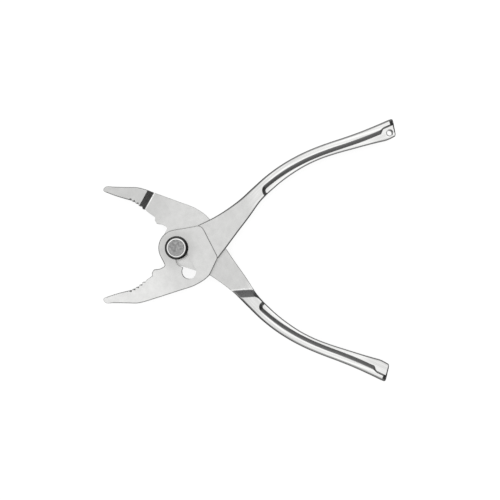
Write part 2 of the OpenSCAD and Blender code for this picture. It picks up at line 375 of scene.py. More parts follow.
def add(tree: bpy.types.NodeTree, kind: str, sockets: dict[str | int, object] | None = None,
        **settings: object) -> bpy.types.Node:
    """Adds a node with its settings and links.

    Args:
        tree: Node tree that gets it.
        kind: Blender's name of the node type.
        sockets: Input name or number with a value, or with the output socket that feeds it.
        settings: Properties of the node.

    Returns:
        The new node.
    """
    node = tree.nodes.new(kind)
    for name, value in settings.items():
        setattr(node, name, value)
    for name, value in (sockets or {}).items():
        if isinstance(value, bpy.types.NodeSocket):
            tree.links.new(value, node.inputs[name])
        else:
            node.inputs[name].default_value = value
    return node


def blank_material(name: str) -> tuple[bpy.types.Material, bpy.types.NodeTree]:
    """Makes a material with an empty node tree.

    Args:
        name: Name of the material.

    Returns:
        The material and its node tree.
    """
    material = bpy.data.materials.new(name)
    material.use_nodes = True
    material.node_tree.nodes.clear()
    return material, material.node_tree


def end_metal(tree: bpy.types.NodeTree, tint: bpy.types.NodeSocket, rough: bpy.types.NodeSocket,
              height: bpy.types.NodeSocket, depth_mm: float, strength: float = 0.5) -> None:
    """Ends a metal's nodes with its bump, its shader and the output. Its IOR stays the default.

    Args:
        tree: Node tree of the material.
        tint: Colour of the metal.
        rough: Its roughness.
        height: Height of its marks, from 0 to 1.
        depth_mm: Depth of the deepest mark.
        strength: Share of the bump that shows.
    """
    bump = add(tree, "ShaderNodeBump", {"Strength": strength, "Distance": depth_mm * MM, "Height": height})
    metal = add(tree, "ShaderNodeBsdfPrincipled", {
        "Base Color": tint, "Metallic": 1.0, "Roughness": rough, "Normal": bump.outputs["Normal"],
    })
    add(tree, "ShaderNodeOutputMaterial", {"Surface": metal.outputs["BSDF"]})


@dataclass(frozen=True)
class PlatedSteel:
    """Forged steel, ground on the joint faces, buffed on the handles and nickel plated.

    The ground part scatters the light softly and looks light grey. The buffed part mirrors it and
    looks nearly white, with faint streaks along the handle from the buffing wheel.
    """

    name: str
    # Painted light and shade in the ground faces' colour: lighter or darker towards the nose, darker on the
    # neck, and painted shade about the bolt's head
    nose: str
    neck: str
    hub_painted_shade: str
    # Where the bolt is in the half's plan
    hub_at_mm: tuple[float, float]
    ground: str = "#CDCDCC"
    # Where these colours start and are reached: two along the half, the last by distance from the bolt
    nose_mm: tuple[float, float] = (-6.0, -24.0)
    neck_mm: tuple[float, float] = (6.0, 24.0)
    hub_mm: tuple[float, float] = (15.0, 7.0)
    buffed: str = "#F6F6F5"
    buffed_dark: str = "#D2D2D1"
    ground_rough: float = 0.24
    buffed_rough: float = 0.17
    rough_spread: float = 0.1
    # Grinding leaves marks about 0.25 mm wide, and buffing streaks about 0.8 mm wide and 40 mm long
    mark_mm: float = 0.25
    streak_mm: float = 0.8
    streak_len_mm: float = 40.0
    # The finish is uneven in clouds of about 5 mm, which are this share brighter or darker
    cloud_mm: float = 5.0
    uneven_share: float = 0.09
    # Values of the noise that make the darkest and the brightest clouds, and streaks
    cloud_range: tuple[float, float] = (0.25, 0.75)
    streak_range: tuple[float, float] = (0.36, 0.64)
    depth_mm: float = 0.004
    bump_strength: float = 0.35

    def grain(self, tree: bpy.types.NodeTree, where: bpy.types.NodeSocket, size_mm: tuple[float, float],
              noise: dict[str, float]) -> bpy.types.NodeSocket:
        """Noise that is drawn out along or across the half.

        Args:
            tree: Node tree of the material.
            where: Places in the half's plan.
            size_mm: Size of the marks along and across the half.
            noise: Settings of the noise.

        Returns:
            Height of the marks, from 0 to 1.
        """
        drawn = add(tree, "ShaderNodeMapping", {
            "Vector": where, "Scale": (1 / (size_mm[0] * MM), 1 / (size_mm[1] * MM), 1.0),
        })
        return add(tree, "ShaderNodeTexNoise", {"Vector": drawn.outputs["Vector"], **noise}).outputs["Fac"]

    def ground_tint_and_painted_light(self, tree: bpy.types.NodeTree, where: bpy.types.NodeSocket,
                    clouds: bpy.types.NodeSocket) -> bpy.types.NodeSocket:
        """Colour of the ground faces, with painted light and shade along the half and about the bolt, and
        uneven in clouds.

        Args:
            tree: Node tree of the material.
            where: Places in the half's plan.
            clouds: Noise, from 0 to 1.

        Returns:
            The colour.
        """
        along_half = add(tree, "ShaderNodeSeparateXYZ", {0: where}).outputs["X"]
        bolt = (self.hub_at_mm[0] * MM, self.hub_at_mm[1] * MM, 0.0)
        from_bolt = add(tree, "ShaderNodeVectorMath", {0: where, 1: bolt}, operation="DISTANCE")
        tint = linear(self.ground)
        # Painted light and shade: the ground colour blends towards the nose, neck and bolt colours
        for colour, way, (start, stop) in (
            (self.nose, along_half, self.nose_mm), (self.neck, along_half, self.neck_mm),
            (self.hub_painted_shade, from_bolt.outputs["Value"], self.hub_mm),
        ):
            share = add(tree, "ShaderNodeMapRange", {
                "Value": way, "From Min": start * MM, "From Max": stop * MM,
            }, interpolation_type="SMOOTHSTEP")
            tint = add(tree, "ShaderNodeMix", {
                "Factor": share.outputs["Result"], "A": tint, "B": linear(colour),
            }, data_type="RGBA").outputs["Result"]
        unevenness = add(tree, "ShaderNodeMapRange", {
            "Value": clouds, "From Min": self.cloud_range[0], "From Max": self.cloud_range[1],
            "To Min": 1 - self.uneven_share, "To Max": 1 + self.uneven_share,
        })
        return add(tree, "ShaderNodeMix", {
            "Factor": 1.0, "A": tint, "B": unevenness.outputs["Result"],
        }, data_type="RGBA", blend_type="MULTIPLY").outputs["Result"]

    def build(self) -> bpy.types.Material:
        """Makes the material, mixed from ground and buffed by how far each place is buffed.

        Returns:
            The material.
        """
        material, tree = blank_material(self.name)
        where = add(tree, "ShaderNodeUVMap", uv_map="plan").outputs["UV"]
        buffed = add(tree, "ShaderNodeAttribute", attribute_name="buffing").outputs["Fac"]
        clouds = add(tree, "ShaderNodeTexNoise", {
            "Vector": where, "Scale": 1 / (self.cloud_mm * MM), "Detail": 4.0, "Roughness": 0.65,
        }).outputs["Fac"]
        marks = self.grain(tree, where, (self.mark_mm, self.cloud_mm), {"Scale": 0.5, "Detail": 2.0})
        streaks = self.grain(tree, where, (self.streak_len_mm, self.streak_mm), {
            "Scale": 0.6, "Detail": 3.0, "Roughness": 0.6,
        })
        strong = add(tree, "ShaderNodeMapRange", {
            "Value": streaks, "From Min": self.streak_range[0], "From Max": self.streak_range[1],
        })
        mirror = add(tree, "ShaderNodeMix", {
            "Factor": strong.outputs["Result"], "A": linear(self.buffed_dark), "B": linear(self.buffed),
        }, data_type="RGBA")
        tint = add(tree, "ShaderNodeMix", {
            "Factor": buffed, "A": self.ground_tint_and_painted_light(tree, where, clouds), "B": mirror.outputs["Result"],
        }, data_type="RGBA")
        mean_rough = add(tree, "ShaderNodeMapRange", {
            "Value": buffed, "To Min": self.ground_rough, "To Max": self.buffed_rough,
        })
        rough = add(tree, "ShaderNodeMath", {
            0: clouds, 1: self.rough_spread, 2: mean_rough.outputs["Result"],
        }, operation="MULTIPLY_ADD")
        height = add(tree, "ShaderNodeMix", {"Factor": buffed, "A": marks, "B": streaks}, data_type="FLOAT")
        end_metal(tree, tint.outputs["Result"], rough.outputs["Value"], height.outputs["Result"],
                  self.depth_mm, self.bump_strength)
        return material


@dataclass(frozen=True)
class ForgedSkinAndPaintedShade:
    """Steel as it left the forging die, plated but not ground, with a fine dimpled skin. Its darker colour is
    partly painted shade on the ramps and slopes.
    """

    name: str = "forged_skin_painted_shade"
    # Dimpled skin tones, darkened partly as painted shade for the ramps and slopes
    light: str = "#BEBEBE"
    dark: str = "#9E9E9E"
    rough: float = 0.22
    rough_spread: float = 0.12
    # The die leaves dimples about 0.5 mm across
    dimple_mm: float = 0.5
    depth_mm: float = 0.02

    def build(self) -> bpy.types.Material:
        """Makes the material, with one noise for its colour, roughness and dimples.

        Returns:
            The material.
        """
        material, tree = blank_material(self.name)
        where = add(tree, "ShaderNodeTexCoord")
        dimples = add(tree, "ShaderNodeTexNoise", {
            "Vector": where.outputs["Object"], "Scale": 0.5 / (self.dimple_mm * MM), "Detail": 3.0,
        }).outputs["Fac"]
        tint = add(tree, "ShaderNodeMix", {
            "Factor": dimples, "A": linear(self.dark), "B": linear(self.light),
        }, data_type="RGBA")
        rough = add(tree, "ShaderNodeMath", {
            0: dimples, 1: self.rough_spread, 2: self.rough,
        }, operation="MULTIPLY_ADD")
        end_metal(tree, tint.outputs["Result"], rough.outputs["Value"], dimples, self.depth_mm)
        return material


@dataclass(frozen=True)
class TurnedSteel:
    """Steel turned on a lathe: rings from the cutting tool show as fine circles about the axis.

    Polished slopes and rims show hardly any rings, so colour and roughness are set for each use.
    """

    name: str
    light: str
    dark: str
    rough: float
    rough_spread: float = 0.15
    # Handling marks are about 1.2 mm across, and these values of the noise make the darkest and the
    # brightest
    spot_mm: float = 1.2
    spot_range: tuple[float, float] = (0.32, 0.68)
    # Feed of the turning tool, drawn at 0.3 mm so that it shows from a step away
    ring_mm: float = 0.3
    depth_mm: float = 0.004

    def build(self) -> bpy.types.Material:
        """Makes the material: spots in its colour, and rings by distance from the axis in its bump.

        Returns:
            The material.
        """
        material, tree = blank_material(self.name)
        where = add(tree, "ShaderNodeTexCoord").outputs["Object"]
        flat = add(tree, "ShaderNodeMapping", {"Vector": where, "Scale": (1.0, 1.0, 0.0)})
        radius = add(tree, "ShaderNodeVectorMath", {0: flat.outputs["Vector"]}, operation="LENGTH")
        rings = add(tree, "ShaderNodeTexNoise", {
            "W": radius.outputs["Value"], "Scale": 1 / (self.ring_mm * MM), "Detail": 2.0,
        }, noise_dimensions="1D").outputs["Fac"]
        spots = add(tree, "ShaderNodeTexNoise", {
            "Vector": where, "Scale": 1 / (self.spot_mm * MM), "Detail": 4.0, "Roughness": 0.65,
        }).outputs["Fac"]
        strong = add(tree, "ShaderNodeMapRange", {
            "Value": spots, "From Min": self.spot_range[0], "From Max": self.spot_range[1],
        })
        tint = add(tree, "ShaderNodeMix", {
            "Factor": strong.outputs["Result"], "A": linear(self.dark), "B": linear(self.light),
        }, data_type="RGBA")
        both = add(tree, "ShaderNodeMath", {0: rings, 1: spots}, operation="MULTIPLY")
        rough = add(tree, "ShaderNodeMath", {
            0: both.outputs["Value"], 1: self.rough_spread, 2: self.rough,
        }, operation="MULTIPLY_ADD")
        end_metal(tree, tint.outputs["Result"], rough.outputs["Value"], rings, self.depth_mm)
        return material


@dataclass(frozen=True)
class Finishes:
    """Every finish of the pliers, built once and shared."""

    # Painted light and shade: slotted nose lighter, pinned nose darker, both necks darker, slotted half
    # darker about the bolt
    slotted: bpy.types.Material = field(default_factory=lambda: PlatedSteel(
        "plated_steel_slotted", nose="#DADAD9", neck="#CACAC9", hub_painted_shade="#BEBEBD", hub_at_mm=(0.0, 8.0)).build())
    pinned: bpy.types.Material = field(default_factory=lambda: PlatedSteel(
        "plated_steel_pinned", nose="#C1C1C0", neck="#C5C5C4", hub_painted_shade="#CDCDCC", hub_at_mm=(2.1, 9.3)).build())
    # Forged skin on ramps and slopes, its dark colour partly painted shade
    forged: bpy.types.Material = field(default_factory=lambda: ForgedSkinAndPaintedShade().build())
    slope: bpy.types.Material = field(default_factory=lambda: TurnedSteel(
        "darkened_slope", light="#787878", dark="#646464", rough=0.14).build())
    face: bpy.types.Material = field(default_factory=lambda: TurnedSteel(
        "turned_face", light="#B6B6B6", dark="#7E7E7E", rough=0.42).build())
    rim: bpy.types.Material = field(default_factory=lambda: TurnedSteel(
        "polished_rim", light="#F2F2F1", dark="#E4E4E3", rough=0.12).build())
    spring: bpy.types.Material = field(default_factory=lambda: TurnedSteel(
        "spring_steel", light="#A2A2A0", dark="#8C8C8A", rough=0.3).build())


# The halves


@dataclass(frozen=True)
class Forging:
    """One half of the pliers: jaw, plate, neck, bow handle and tab. Lengths are in millimetres."""

    name: str = "forging"
    # Middle of the bolt in the half's own plan
    eye: tuple[float, float] = (0.0, 8.0)
    jaw_len: float = 52.4
    back_len: float = 148.0
    jaw_depth: float = 16.6
    bow_h: float = 24.4
    plate_t: float = 4.8
    neck_step: float = 0.7
    lap_gap: float = 0.1
    nose_ramp_len: float = 3.0
    neck_ramp_len: float = 4.3
    eye_r: float = 10.8
    plate_end: float = 19.2
    plate_corner: float = 3.0
    # The plate's corner under the neck is cut off, by these shares of plate_corner
    low_corner_shares: tuple[float, float] = (0.15, 0.6)
    # Rounding of this half's plate corner at the neck
    corner_r: float = 3.0
    corner_rise_share: float = 0.16
    tooth_count: int = 4
    tooth_pitch: float = 2.45
    tooth_h: float = 1.2
    grip_start: float = 27.0
    grip_sag: float = 0.55
    fine_pitch: float = 1.3
    fine_h: float = 0.3
    cutter_h: float = 2.7
    nose_lift: float = 1.1
    nose_start: float = 29.2
    # Heights of the first coarse peak and of the last as shares of nose_lift, the nose line's far end
    # as a share of jaw_len, and how much that line is crowned
    grip_top_share: float = -0.8
    grip_foot_share: float = -1.5
    nose_end_share: float = 0.965
    nose_crown_share: float = 0.35
    # The rib, the slope beside it and half of the web's thickness. This share of the slope's fall is
    # a parabola, and the rest is straight
    rib_w: float = 3.75
    wall_w: float = 2.25
    web_half: float = 1.7
    wall_bend_share: float = 0.6
    # Back of the jaw as shares of jaw_len and jaw_depth, and nose tip as shares of jaw_len and nose_lift
    back_shares: Table = (
        (-0.189, 0.914), (-0.115, 0.976), (-0.029, 1), (0.057, 0.988), (0.179, 0.924), (0.37, 0.828),
        (0.506, 0.757), (0.601, 0.705), (0.681, 0.633), (0.767, 0.49), (0.847, 0.355), (0.935, 0.212),
    )
    tip_shares: Table = (
        (0.969, -2.6), (0.987, -1.9), (0.998, -1), (1, -0.2), (0.995, 0.6), (0.984, 0.98), (0.974, 1),
    )
    # Handle edges as shares of back_len and bow_h
    outer_shares: Table = (
        (0.128, 0.582), (0.182, 0.578), (0.243, 0.609), (0.311, 0.68), (0.378, 0.793), (0.446, 0.902),
        (0.52, 0.975), (0.595, 1), (0.662, 0.984), (0.73, 0.937), (0.797, 0.875), (0.865, 0.822),
        (0.932, 0.787), (1, 0.762),
    )
    inner_shares: Table = (
        (0.128, -0.348), (0.182, -0.191), (0.243, -0.006), (0.311, 0.192), (0.378, 0.405), (0.412, 0.485),
        (0.446, 0.541), (0.486, 0.602), (0.541, 0.657), (0.608, 0.69), (0.676, 0.674), (0.743, 0.614),
        (0.811, 0.53), (0.878, 0.444), (0.919, 0.386), (0.949, 0.344), (0.983, 0.338), (1.005, 0.338),
    )
    # How far a section's inner end lags behind its outer end, as shares of back_len
    slant_shares: Table = (
        (0.088, 0), (0.128, 0), (0.182, -0.023), (0.24, -0.05), (0.293, -0.075), (0.323, -0.077),
        (0.385, -0.023), (0.412, -0.001), (0.44, 0), (0.925, 0), (0.938, 0.006), (0.959, 0.008),
        (0.985, 0.01), (0.997, 0.016), (1.004, 0.019), (1.0075, 0.02),
    )
    # Cutter shoulder beside the head, and back of the hollow grip, as shares of grip_start and cutter_h
    cutter_shares: Table = ((0.53, 0.56), (0.57, 0.66), (0.66, 1), (0.73, 0.55), (0.752, -0.05))
    heel_shares: Table = ((0.9, -0.3), (0.955, -0.6))
    # Handle stations: first and last share of back_len, and spacing. The last stations turn the end
    station_runs: tuple[tuple[float, float, float], ...] = (
        (0.095, 0.283, 1.6), (0.283, 0.392, 0.33), (0.392, 0.452, 0.22), (0.452, 0.925, 1.3),
        (0.925, 0.968, 0.3), (0.968, 0.98, 0.5), (0.98, 1.001, 0.25),
    )
    end_share: float = 1.0075
    end_count: int = 10
    # Points of a section round the inner edge, over the web, the slope and the rib, and round the
    # outer edge. Levels of the rounding along the plate's edges
    section_counts: tuple[int, int, int, int, int] = (9, 27, 13, 8, 11)
    edge_levels: int = 7
    # Ramp under the neck: how far its foot line lies from the plan's origin, and which way it faces
    ramp_foot: float = 36.4
    ramp_turn_deg: float = 57.2
    # The ramp's slope beside the inner edge: which way it faces, its width, the share of the ramp's
    # way that is left at the edge, from where to where it narrows, and how far past the edge it goes
    ramp_side_turn_deg: float = 25.0
    ramp_side_w: float = 1.5
    ramp_side_left: float = 0.3
    ramp_side_from: float = 56.5
    ramp_side_to: float = 61.5
    ramp_side_past: float = 0.3
    # The low strip before each ramp, whose full buffing paints a bright highlight there: its width, its
    # height and the length of the step up to it
    strip_w: float = 0.75
    strip_h: float = 0.03
    strip_step: float = 0.1
    fillet: float = 0.4
    # Start of the hollow: its place on the inner edge, as shares of back_len and bow_h, and the
    # handle's own direction there
    hollow_at_shares: tuple[float, float] = (0.416, 0.49)
    hollow_turn_deg: float = 15.0
    hollow_corner: float = 3.4
    # Where the rib and the slope narrow beside the tab, as shares of back_len
    tab_from_share: float = 0.936
    tab_to_share: float = 0.957
    tab_rib_share: float = 0.78
    tab_wall_share: float = 0.45
    # Where the web beside the tab is buffed less, and over what length this comes and goes, as shares
    # of back_len, how far it comes out of the slope as a share of wall_w, and how much less it is
    dull_from_share: float = 0.86
    dull_to_share: float = 0.965
    dull_fade_shares: tuple[float, float] = (0.06, 0.02)
    dull_wall_share: float = 1.6
    dull_part: float = 0.5
    # Buffing grows along the handle in steps: how much each adds, and from where to where as shares
    # of back_len. A strip along the inner edge is buffed sooner: how wide, how much and from where
    buff_steps: tuple[tuple[float, float, float], ...] = ((0.45, 0.31, 0.38), (0.55, 0.40, 0.47))
    buff_edge_w: tuple[float, float] = (0.8, 2.6)
    buff_edge_step: tuple[float, float, float] = (0.8, 0.31, 0.36)
    # Where the plan map bends over to the handle's middle line, as shares of back_len
    map_bend_shares: tuple[float, float] = (0.1, 0.35)
    # Rounding of the handle's outer edge by the plate and along the bow, and of its inner edge
    neck_edge_r: float = 0.9
    bow_edge_r: float = 1.8
    edge_grow_shares: tuple[float, float] = (0.12, 0.36)
    web_edge_w: float = 0.95
    web_edge_h: float = 1.0
    # Rounding of the plate's ground edges, of its step to the neck, of its teeth, and of the lap side.
    # The handle's lap side is rounded past the shares of back_len that lap_grow_shares gives
    plate_r: float = 0.65
    step_r: float = 0.6
    tooth_r: float = 0.28
    lap_r: float = 0.28
    lap_tooth_r: float = 0.15
    lap_grow_shares: tuple[float, float] = (0.135, 0.16)
    crisp_r: float = 0.01
    # The handle's end: width and height of the bevel along its face, and its two corners in plan
    end_w: float = 1.25
    end_h: float = 1.3
    outer_end_r: float = 1.4
    inner_end_r: float = 1.5
    # Slope of the rib down to the tab, where it ends, and how little it leaves of the rib
    rib_slope_len: float = 3.4
    rib_slope_end: float = 0.3
    rib_left_share: float = 0.03
    # The rib's flat is at least this wide
    rib_flat_w: float = 0.3
    # No rounding takes more than this share of the height, so that the two sides never meet, and
    # none grows wider across a slanted section than its radius over this
    most_share: float = 0.8
    square_least: float = 0.5
    # The handle starts inside the plate, this far over its lap face, up to root_left before its end
    root_inset: float = 0.12
    root_left: float = 0.2
    # By the Z of its direction, a face below level_z is tilted, one below -down_z may be a ramp's and
    # one below -strip_z a strip's
    level_z: float = 0.93
    down_z: float = 0.3
    strip_z: float = 0.95
    # Faces of the hollow's slope are told with this slack, up to this share of the slope's width, and
    # from this share of back_len
    slack: float = 0.1
    slope_reach_share: float = 1.3
    slope_from_share: float = 0.39
    # How the half lies in the part: 1 as in its own plan or -1 turned over, and then turned this far
    flip: int = 1
    turn_deg: float = 27.0

    @property
    def crest(self) -> float:
        """Height of a handle's faces over the mating plane."""
        return self.plate_t - self.neck_step

    @property
    def lap_z(self) -> float:
        """Height of the lap face over the mating plane."""
        return self.lap_gap / 2

    def outer(self, share: np.ndarray) -> np.ndarray:
        """Height of the handle's outer edge over the closing line."""
        return self.bow_h * along(self.outer_shares, share)

    def inner(self, share: np.ndarray) -> np.ndarray:
        """Height of the handle's inner edge over the closing line."""
        return self.bow_h * along(self.inner_shares, share)

    def grip_line(self) -> np.ndarray:
        """Coarse teeth on a hollow line and fine teeth on the crowned nose, from the nose to the heel.

        The hollow line is straight with a half sine of grip_sag under it. Peaks lie on it and valleys
        tooth_h below it. The nose line is a flat parabola, with valleys fine_h below it.

        Returns:
            Rows of x and y.
        """
        nose_from = self.grip_start + self.tooth_count * self.tooth_pitch
        nose_to = self.jaw_len * self.nose_end_share
        top_y, nose_y0 = self.grip_top_share * self.nose_lift, self.grip_foot_share * self.nose_lift
        fine_count = int((nose_to - nose_from) // self.fine_pitch)
        fine = np.arange(2 * fine_count - 1, 0, -1)
        fine_x = nose_from + fine * self.fine_pitch / 2
        u = (fine_x - nose_from) / (nose_to - nose_from)
        crown = 1 + self.nose_crown_share - self.nose_crown_share * u
        fine_y = nose_y0 + (self.nose_lift - nose_y0) * u * crown - self.fine_h * (fine % 2)
        coarse = np.arange(2 * self.tooth_count - 1, -1, -1)
        u = coarse / (2 * self.tooth_count)
        coarse_y = top_y + (nose_y0 - top_y) * u - self.grip_sag * np.sin(np.pi * u)
        coarse_y = coarse_y - self.tooth_h * (coarse % 2)
        coarse_x = self.grip_start + coarse * self.tooth_pitch / 2
        return np.concatenate([
            [[-nose_to, self.nose_lift]],
            np.column_stack([-fine_x, fine_y]),
            [[-nose_from, nose_y0]],
            np.column_stack([-coarse_x, coarse_y]),
        ])

    def head_to(self, out: np.ndarray) -> float:
        """Where the head's round ends: at the tangent to the plate's corner.

        Args:
            out: From the bolt's centre to the start of the plate's corner.

        Returns:
            The angle in degrees, anticlockwise from the handle's side.
        """
        reach = float(np.hypot(*out))
        return math.degrees(math.atan2(out[1], out[0]) + math.acos(self.eye_r / reach))

    def plate_outline(self) -> tuple[np.ndarray, np.ndarray, np.ndarray]:
        """Outline of the jaw and plate.

        Returns:
            Its points, anticlockwise, and the rounding at each point of its ground and its lap edge.
        """
        share = self.plate_end / self.back_len
        corner_y, low_y = float(self.outer(share)), float(self.inner(share))
        eye = np.array(self.eye)
        rise = corner_y + self.corner_rise_share * self.plate_corner
        out = np.array([self.plate_end - self.corner_r, rise]) - eye
        side = eye[0] - self.eye_r
        foot = self.cutter_shares[0][1] * self.cutter_h
        half_corner = self.plate_corner / 2
        grip_size = [-self.grip_start, self.cutter_h]
        end = self.plate_end
        low = np.array(self.low_corner_shares) * self.plate_corner
        back = smooth(np.array(self.back_shares) * [-self.jaw_len, -self.jaw_depth], 8)
        tip = smooth(np.array(self.tip_shares) * [-self.jaw_len, self.nose_lift], 5)
        parts = [
            ([[end, low_y + low[1]], [end - low[0], low_y]], self.step_r, self.crisp_r),
            (back, self.plate_r, self.lap_r),
            (tip, self.tooth_r, self.lap_r),
            (self.grip_line(), self.tooth_r, self.lap_tooth_r),
            (np.array(self.heel_shares)[::-1] * grip_size, self.tooth_r, self.lap_tooth_r),
            (np.array(self.cutter_shares)[::-1] * grip_size + [eye[0], 0], self.plate_r, self.lap_tooth_r),
            (corner([side - half_corner, foot], [side, foot], [side, foot + half_corner], 8),
             self.plate_r, self.lap_tooth_r),
            (arc(eye, self.eye_r, 180, self.head_to(out), 60)[1:], self.plate_r, self.lap_tooth_r),
            (corner(eye + out, [end, corner_y], [end, corner_y - self.corner_r], 12),
             self.step_r, self.crisp_r),
        ]
        line = np.concatenate([np.asarray(points, float) for points, *_ in parts])[::-1]
        radii = np.concatenate([np.tile(pair, (len(points), 1)) for points, *pair in parts])[::-1]
        # A large rounding shrinks towards a small one beside it
        for _ in range(2):
            radii = np.minimum(radii, (radii + np.roll(radii, 1, axis=0) + np.roll(radii, -1, axis=0)) / 3)
        return line, radii[:, 0], radii[:, 1]

    def rounded_edge(self, line: np.ndarray, radius: np.ndarray, z: float,
                     up: float) -> list[tuple[np.ndarray, np.ndarray]]:
        """Levels of a quarter round from a flat face to the wall beside it.

        At angle a, the level lies radius * (1 - sin a) inside the outline and radius * (1 - cos a)
        from the face.

        Args:
            line: Outline, anticlockwise.
            radius: Rounding at each point.
            z: Height of the face.
            up: 1 when the wall is over the face, -1 when it is under it.

        Returns:
            Outline and height of each level, the face first.
        """
        return [
            (inset(line, radius * (1 - math.sin(a))), z + up * radius * (1 - math.cos(a)))
            for a in quarter_turn(self.edge_levels)
        ]

    def plate(self) -> bpy.types.Object:
        """Jaw and plate from the lap face to the ground face, rounded along both edges.

        Returns:
            The closed shape.
        """
        line, ground, lap = self.plate_outline()
        under = self.rounded_edge(line, lap, self.lap_z, 1.0)
        over = self.rounded_edge(line, ground, self.plate_t, -1.0)
        return level_stack(self.name, under + over[::-1])

    def nose(self) -> bpy.types.Object:
        """Nose at its full thickness, with the ramp that ends at the other half's lap.

        Returns:
            The closed shape.
        """
        line, ground, _ = self.plate_outline()
        under = self.rounded_edge(line, ground, -self.plate_t, 1.0)
        over = self.rounded_edge(line, ground, self.plate_t, -1.0)
        block = level_stack("nose_block", under + over[::-1])
        carve(block, self.ramp_tool(), Cut.REMOVE)
        return block

    def ramp_tool(self) -> bpy.types.Object:
        """All that lies behind the nose and under its ramp: a profile along X and Z, carried across.

        The ramp is straight between a hollow foot and a rounded crest, and a low strip lies before it.

        Returns:
            The closed shape.
        """
        top_x, foot_x = -self.nose_start, -self.nose_start + self.nose_ramp_len
        foot_z = self.lap_z - self.strip_h
        fall = np.array([top_x - foot_x, -self.plate_t - foot_z])
        step = self.fillet * fall / np.linalg.norm(fall)
        foot, top = np.array([foot_x, foot_z]), np.array([top_x, -self.plate_t])
        far_x, high = self.plate_end + CUT_OVER, self.plate_t + CUT_OVER
        strip_x = foot_x + self.strip_w
        profile = np.concatenate([
            [[strip_x, high], [strip_x, foot_z]],
            corner(foot + [self.fillet, 0], foot, foot + step, 4),
            corner(top - step, top, top - [self.fillet, 0], 4),
            [[top_x - self.fillet, -high], [far_x, -high], [far_x, high]],
        ])
        reach = self.jaw_depth + self.bow_h
        rings = [np.column_stack([profile[:, 0], np.full(len(profile), y), profile[:, 1]])
                 for y in (reach, -reach)]
        return shape("ramp_tool", *tube(np.array(rings)))

    def stations(self) -> np.ndarray:
        """Places the handle's sections, closer together where its shape turns.

        Returns:
            One share of back_len a section, rising.
        """
        runs = [np.linspace(a, b, max(2, round((b - a) * self.back_len / gap) + 1))[:-1]
                for a, b, gap in self.station_runs]
        last = self.station_runs[-1][1]
        return np.concatenate([*runs, last + (self.end_share - last) * np.sin(quarter_turn(self.end_count))])

    def ramp_way(self, x: np.ndarray, y: np.ndarray) -> np.ndarray:
        """Way up the neck's ramp from its foot, over neck_ramp_len at its crest.

        A second slope beside the inner edge is steeper. It reaches its full width where the ramp ends
        and runs out towards the hollow. The way is the product of both slopes' shares, so the foot is
        straight and the crest bends from one slope into the other.

        Args:
            x: Places along the closing line.
            y: Places across it.

        Returns:
            The way, and below zero the distance before the foot line.
        """
        full = 1 + self.fillet / self.neck_ramp_len
        turn = math.radians(self.ramp_turn_deg)
        across = (x * math.cos(turn) + y * math.sin(turn) - self.ramp_foot) / self.neck_ramp_len
        going = ramp(x, self.ramp_side_from, self.ramp_side_to)
        side = self.ramp_side_w - (self.ramp_side_w + self.ramp_side_past) * going
        edge_turn = math.radians(self.ramp_side_turn_deg)
        beside = ((y - self.inner(x / self.back_len)) * math.cos(edge_turn) - side) / self.ramp_side_w + 1
        beside = self.ramp_side_left + (1 - self.ramp_side_left) * np.clip(beside, 0, full) / full
        both = np.minimum(across, full) * beside
        return np.where(across < 0, across, both) * self.neck_ramp_len

    def hollow_depth(self, x: np.ndarray, y: np.ndarray, from_rib: np.ndarray) -> np.ndarray:
        """Distance into the hollow from its edge, with a round corner at its start.

        Args:
            x: Places along the closing line.
            y: Places across it.
            from_rib: Distance of each place from the rib.

        Returns:
            The depth, below zero on the rib and before the hollow's start.
        """
        at = np.array(self.hollow_at_shares) * [self.back_len, self.bow_h]
        turn = math.radians(self.hollow_turn_deg)
        ahead = (x - at[0]) * math.cos(turn) + (y - at[1]) * math.sin(turn)
        return rounded_depth(ahead, from_rib, self.hollow_corner)

    def rib_and_wall(self, share: np.ndarray) -> tuple[np.ndarray, np.ndarray]:
        """Width of the rib and of the slope beside it, which both narrow beside the tab.

        Args:
            share: Places along the handle as shares of back_len.

        Returns:
            Both widths at each place.
        """
        thin = ease(share, self.tab_from_share, self.tab_to_share)
        rib = self.rib_w * (1 + (self.tab_rib_share - 1) * thin)
        wall = self.wall_w * (1 + (self.tab_wall_share - 1) * thin)
        return rib, wall

    def edge_r(self, share: np.ndarray) -> np.ndarray:
        """Rounding of the outer edge, which grows along the neck."""
        return self.neck_edge_r + (self.bow_edge_r - self.neck_edge_r) * ease(share, *self.edge_grow_shares)

    def across(self, width: np.ndarray, rib: np.ndarray, wall: np.ndarray, in_w: np.ndarray,
               out_w: np.ndarray) -> np.ndarray:
        """Places across each section, from its inner to its outer edge.

        The points run round the inner edge, evenly over the web, closely over the slope, over the
        rib and round the outer edge.

        Args:
            width: Width of each section.
            rib: Width of its rib.
            wall: Width of the slope beside the rib.
            in_w: Width of the inner edge's rounding.
            out_w: Width of the outer edge's rounding.

        Returns:
            One row a section, each with the same number of places.
        """
        in_count, web_count, slope_count, rib_count, out_count = self.section_counts
        round_in = (1 - np.cos(quarter_turn(in_count))) * in_w[:, None]
        round_out = (width - out_w)[:, None] + np.sin(quarter_turn(out_count))[1:] * out_w[:, None]
        foot = width - rib - wall
        web = in_w[:, None] + np.linspace(0, 1, web_count)[1:] * (foot - in_w)[:, None]
        slope = foot[:, None] + np.linspace(0, 1, slope_count)[1:] * wall[:, None]
        flat = (width - rib)[:, None] + np.linspace(0, 1, rib_count)[1:] * (rib - out_w)[:, None]
        return np.concatenate([round_in, web, slope, flat, round_out], axis=1)

    def square_to(self, way: np.ndarray, edge: np.ndarray) -> np.ndarray:
        """How squarely each section's way crosses an edge: the sine of the angle between them.

        Args:
            way: Direction of each section, of length 1.
            edge: The edge's points, one a section.

        Returns:
            Shares from square_least up to 1.
        """
        run = np.gradient(edge, axis=0)
        run /= np.maximum(np.linalg.norm(run, axis=1), 1e-9)[:, None]
        return np.clip(np.abs(way[:, 0] * run[:, 1] - way[:, 1] * run[:, 0]), self.square_least, 1)

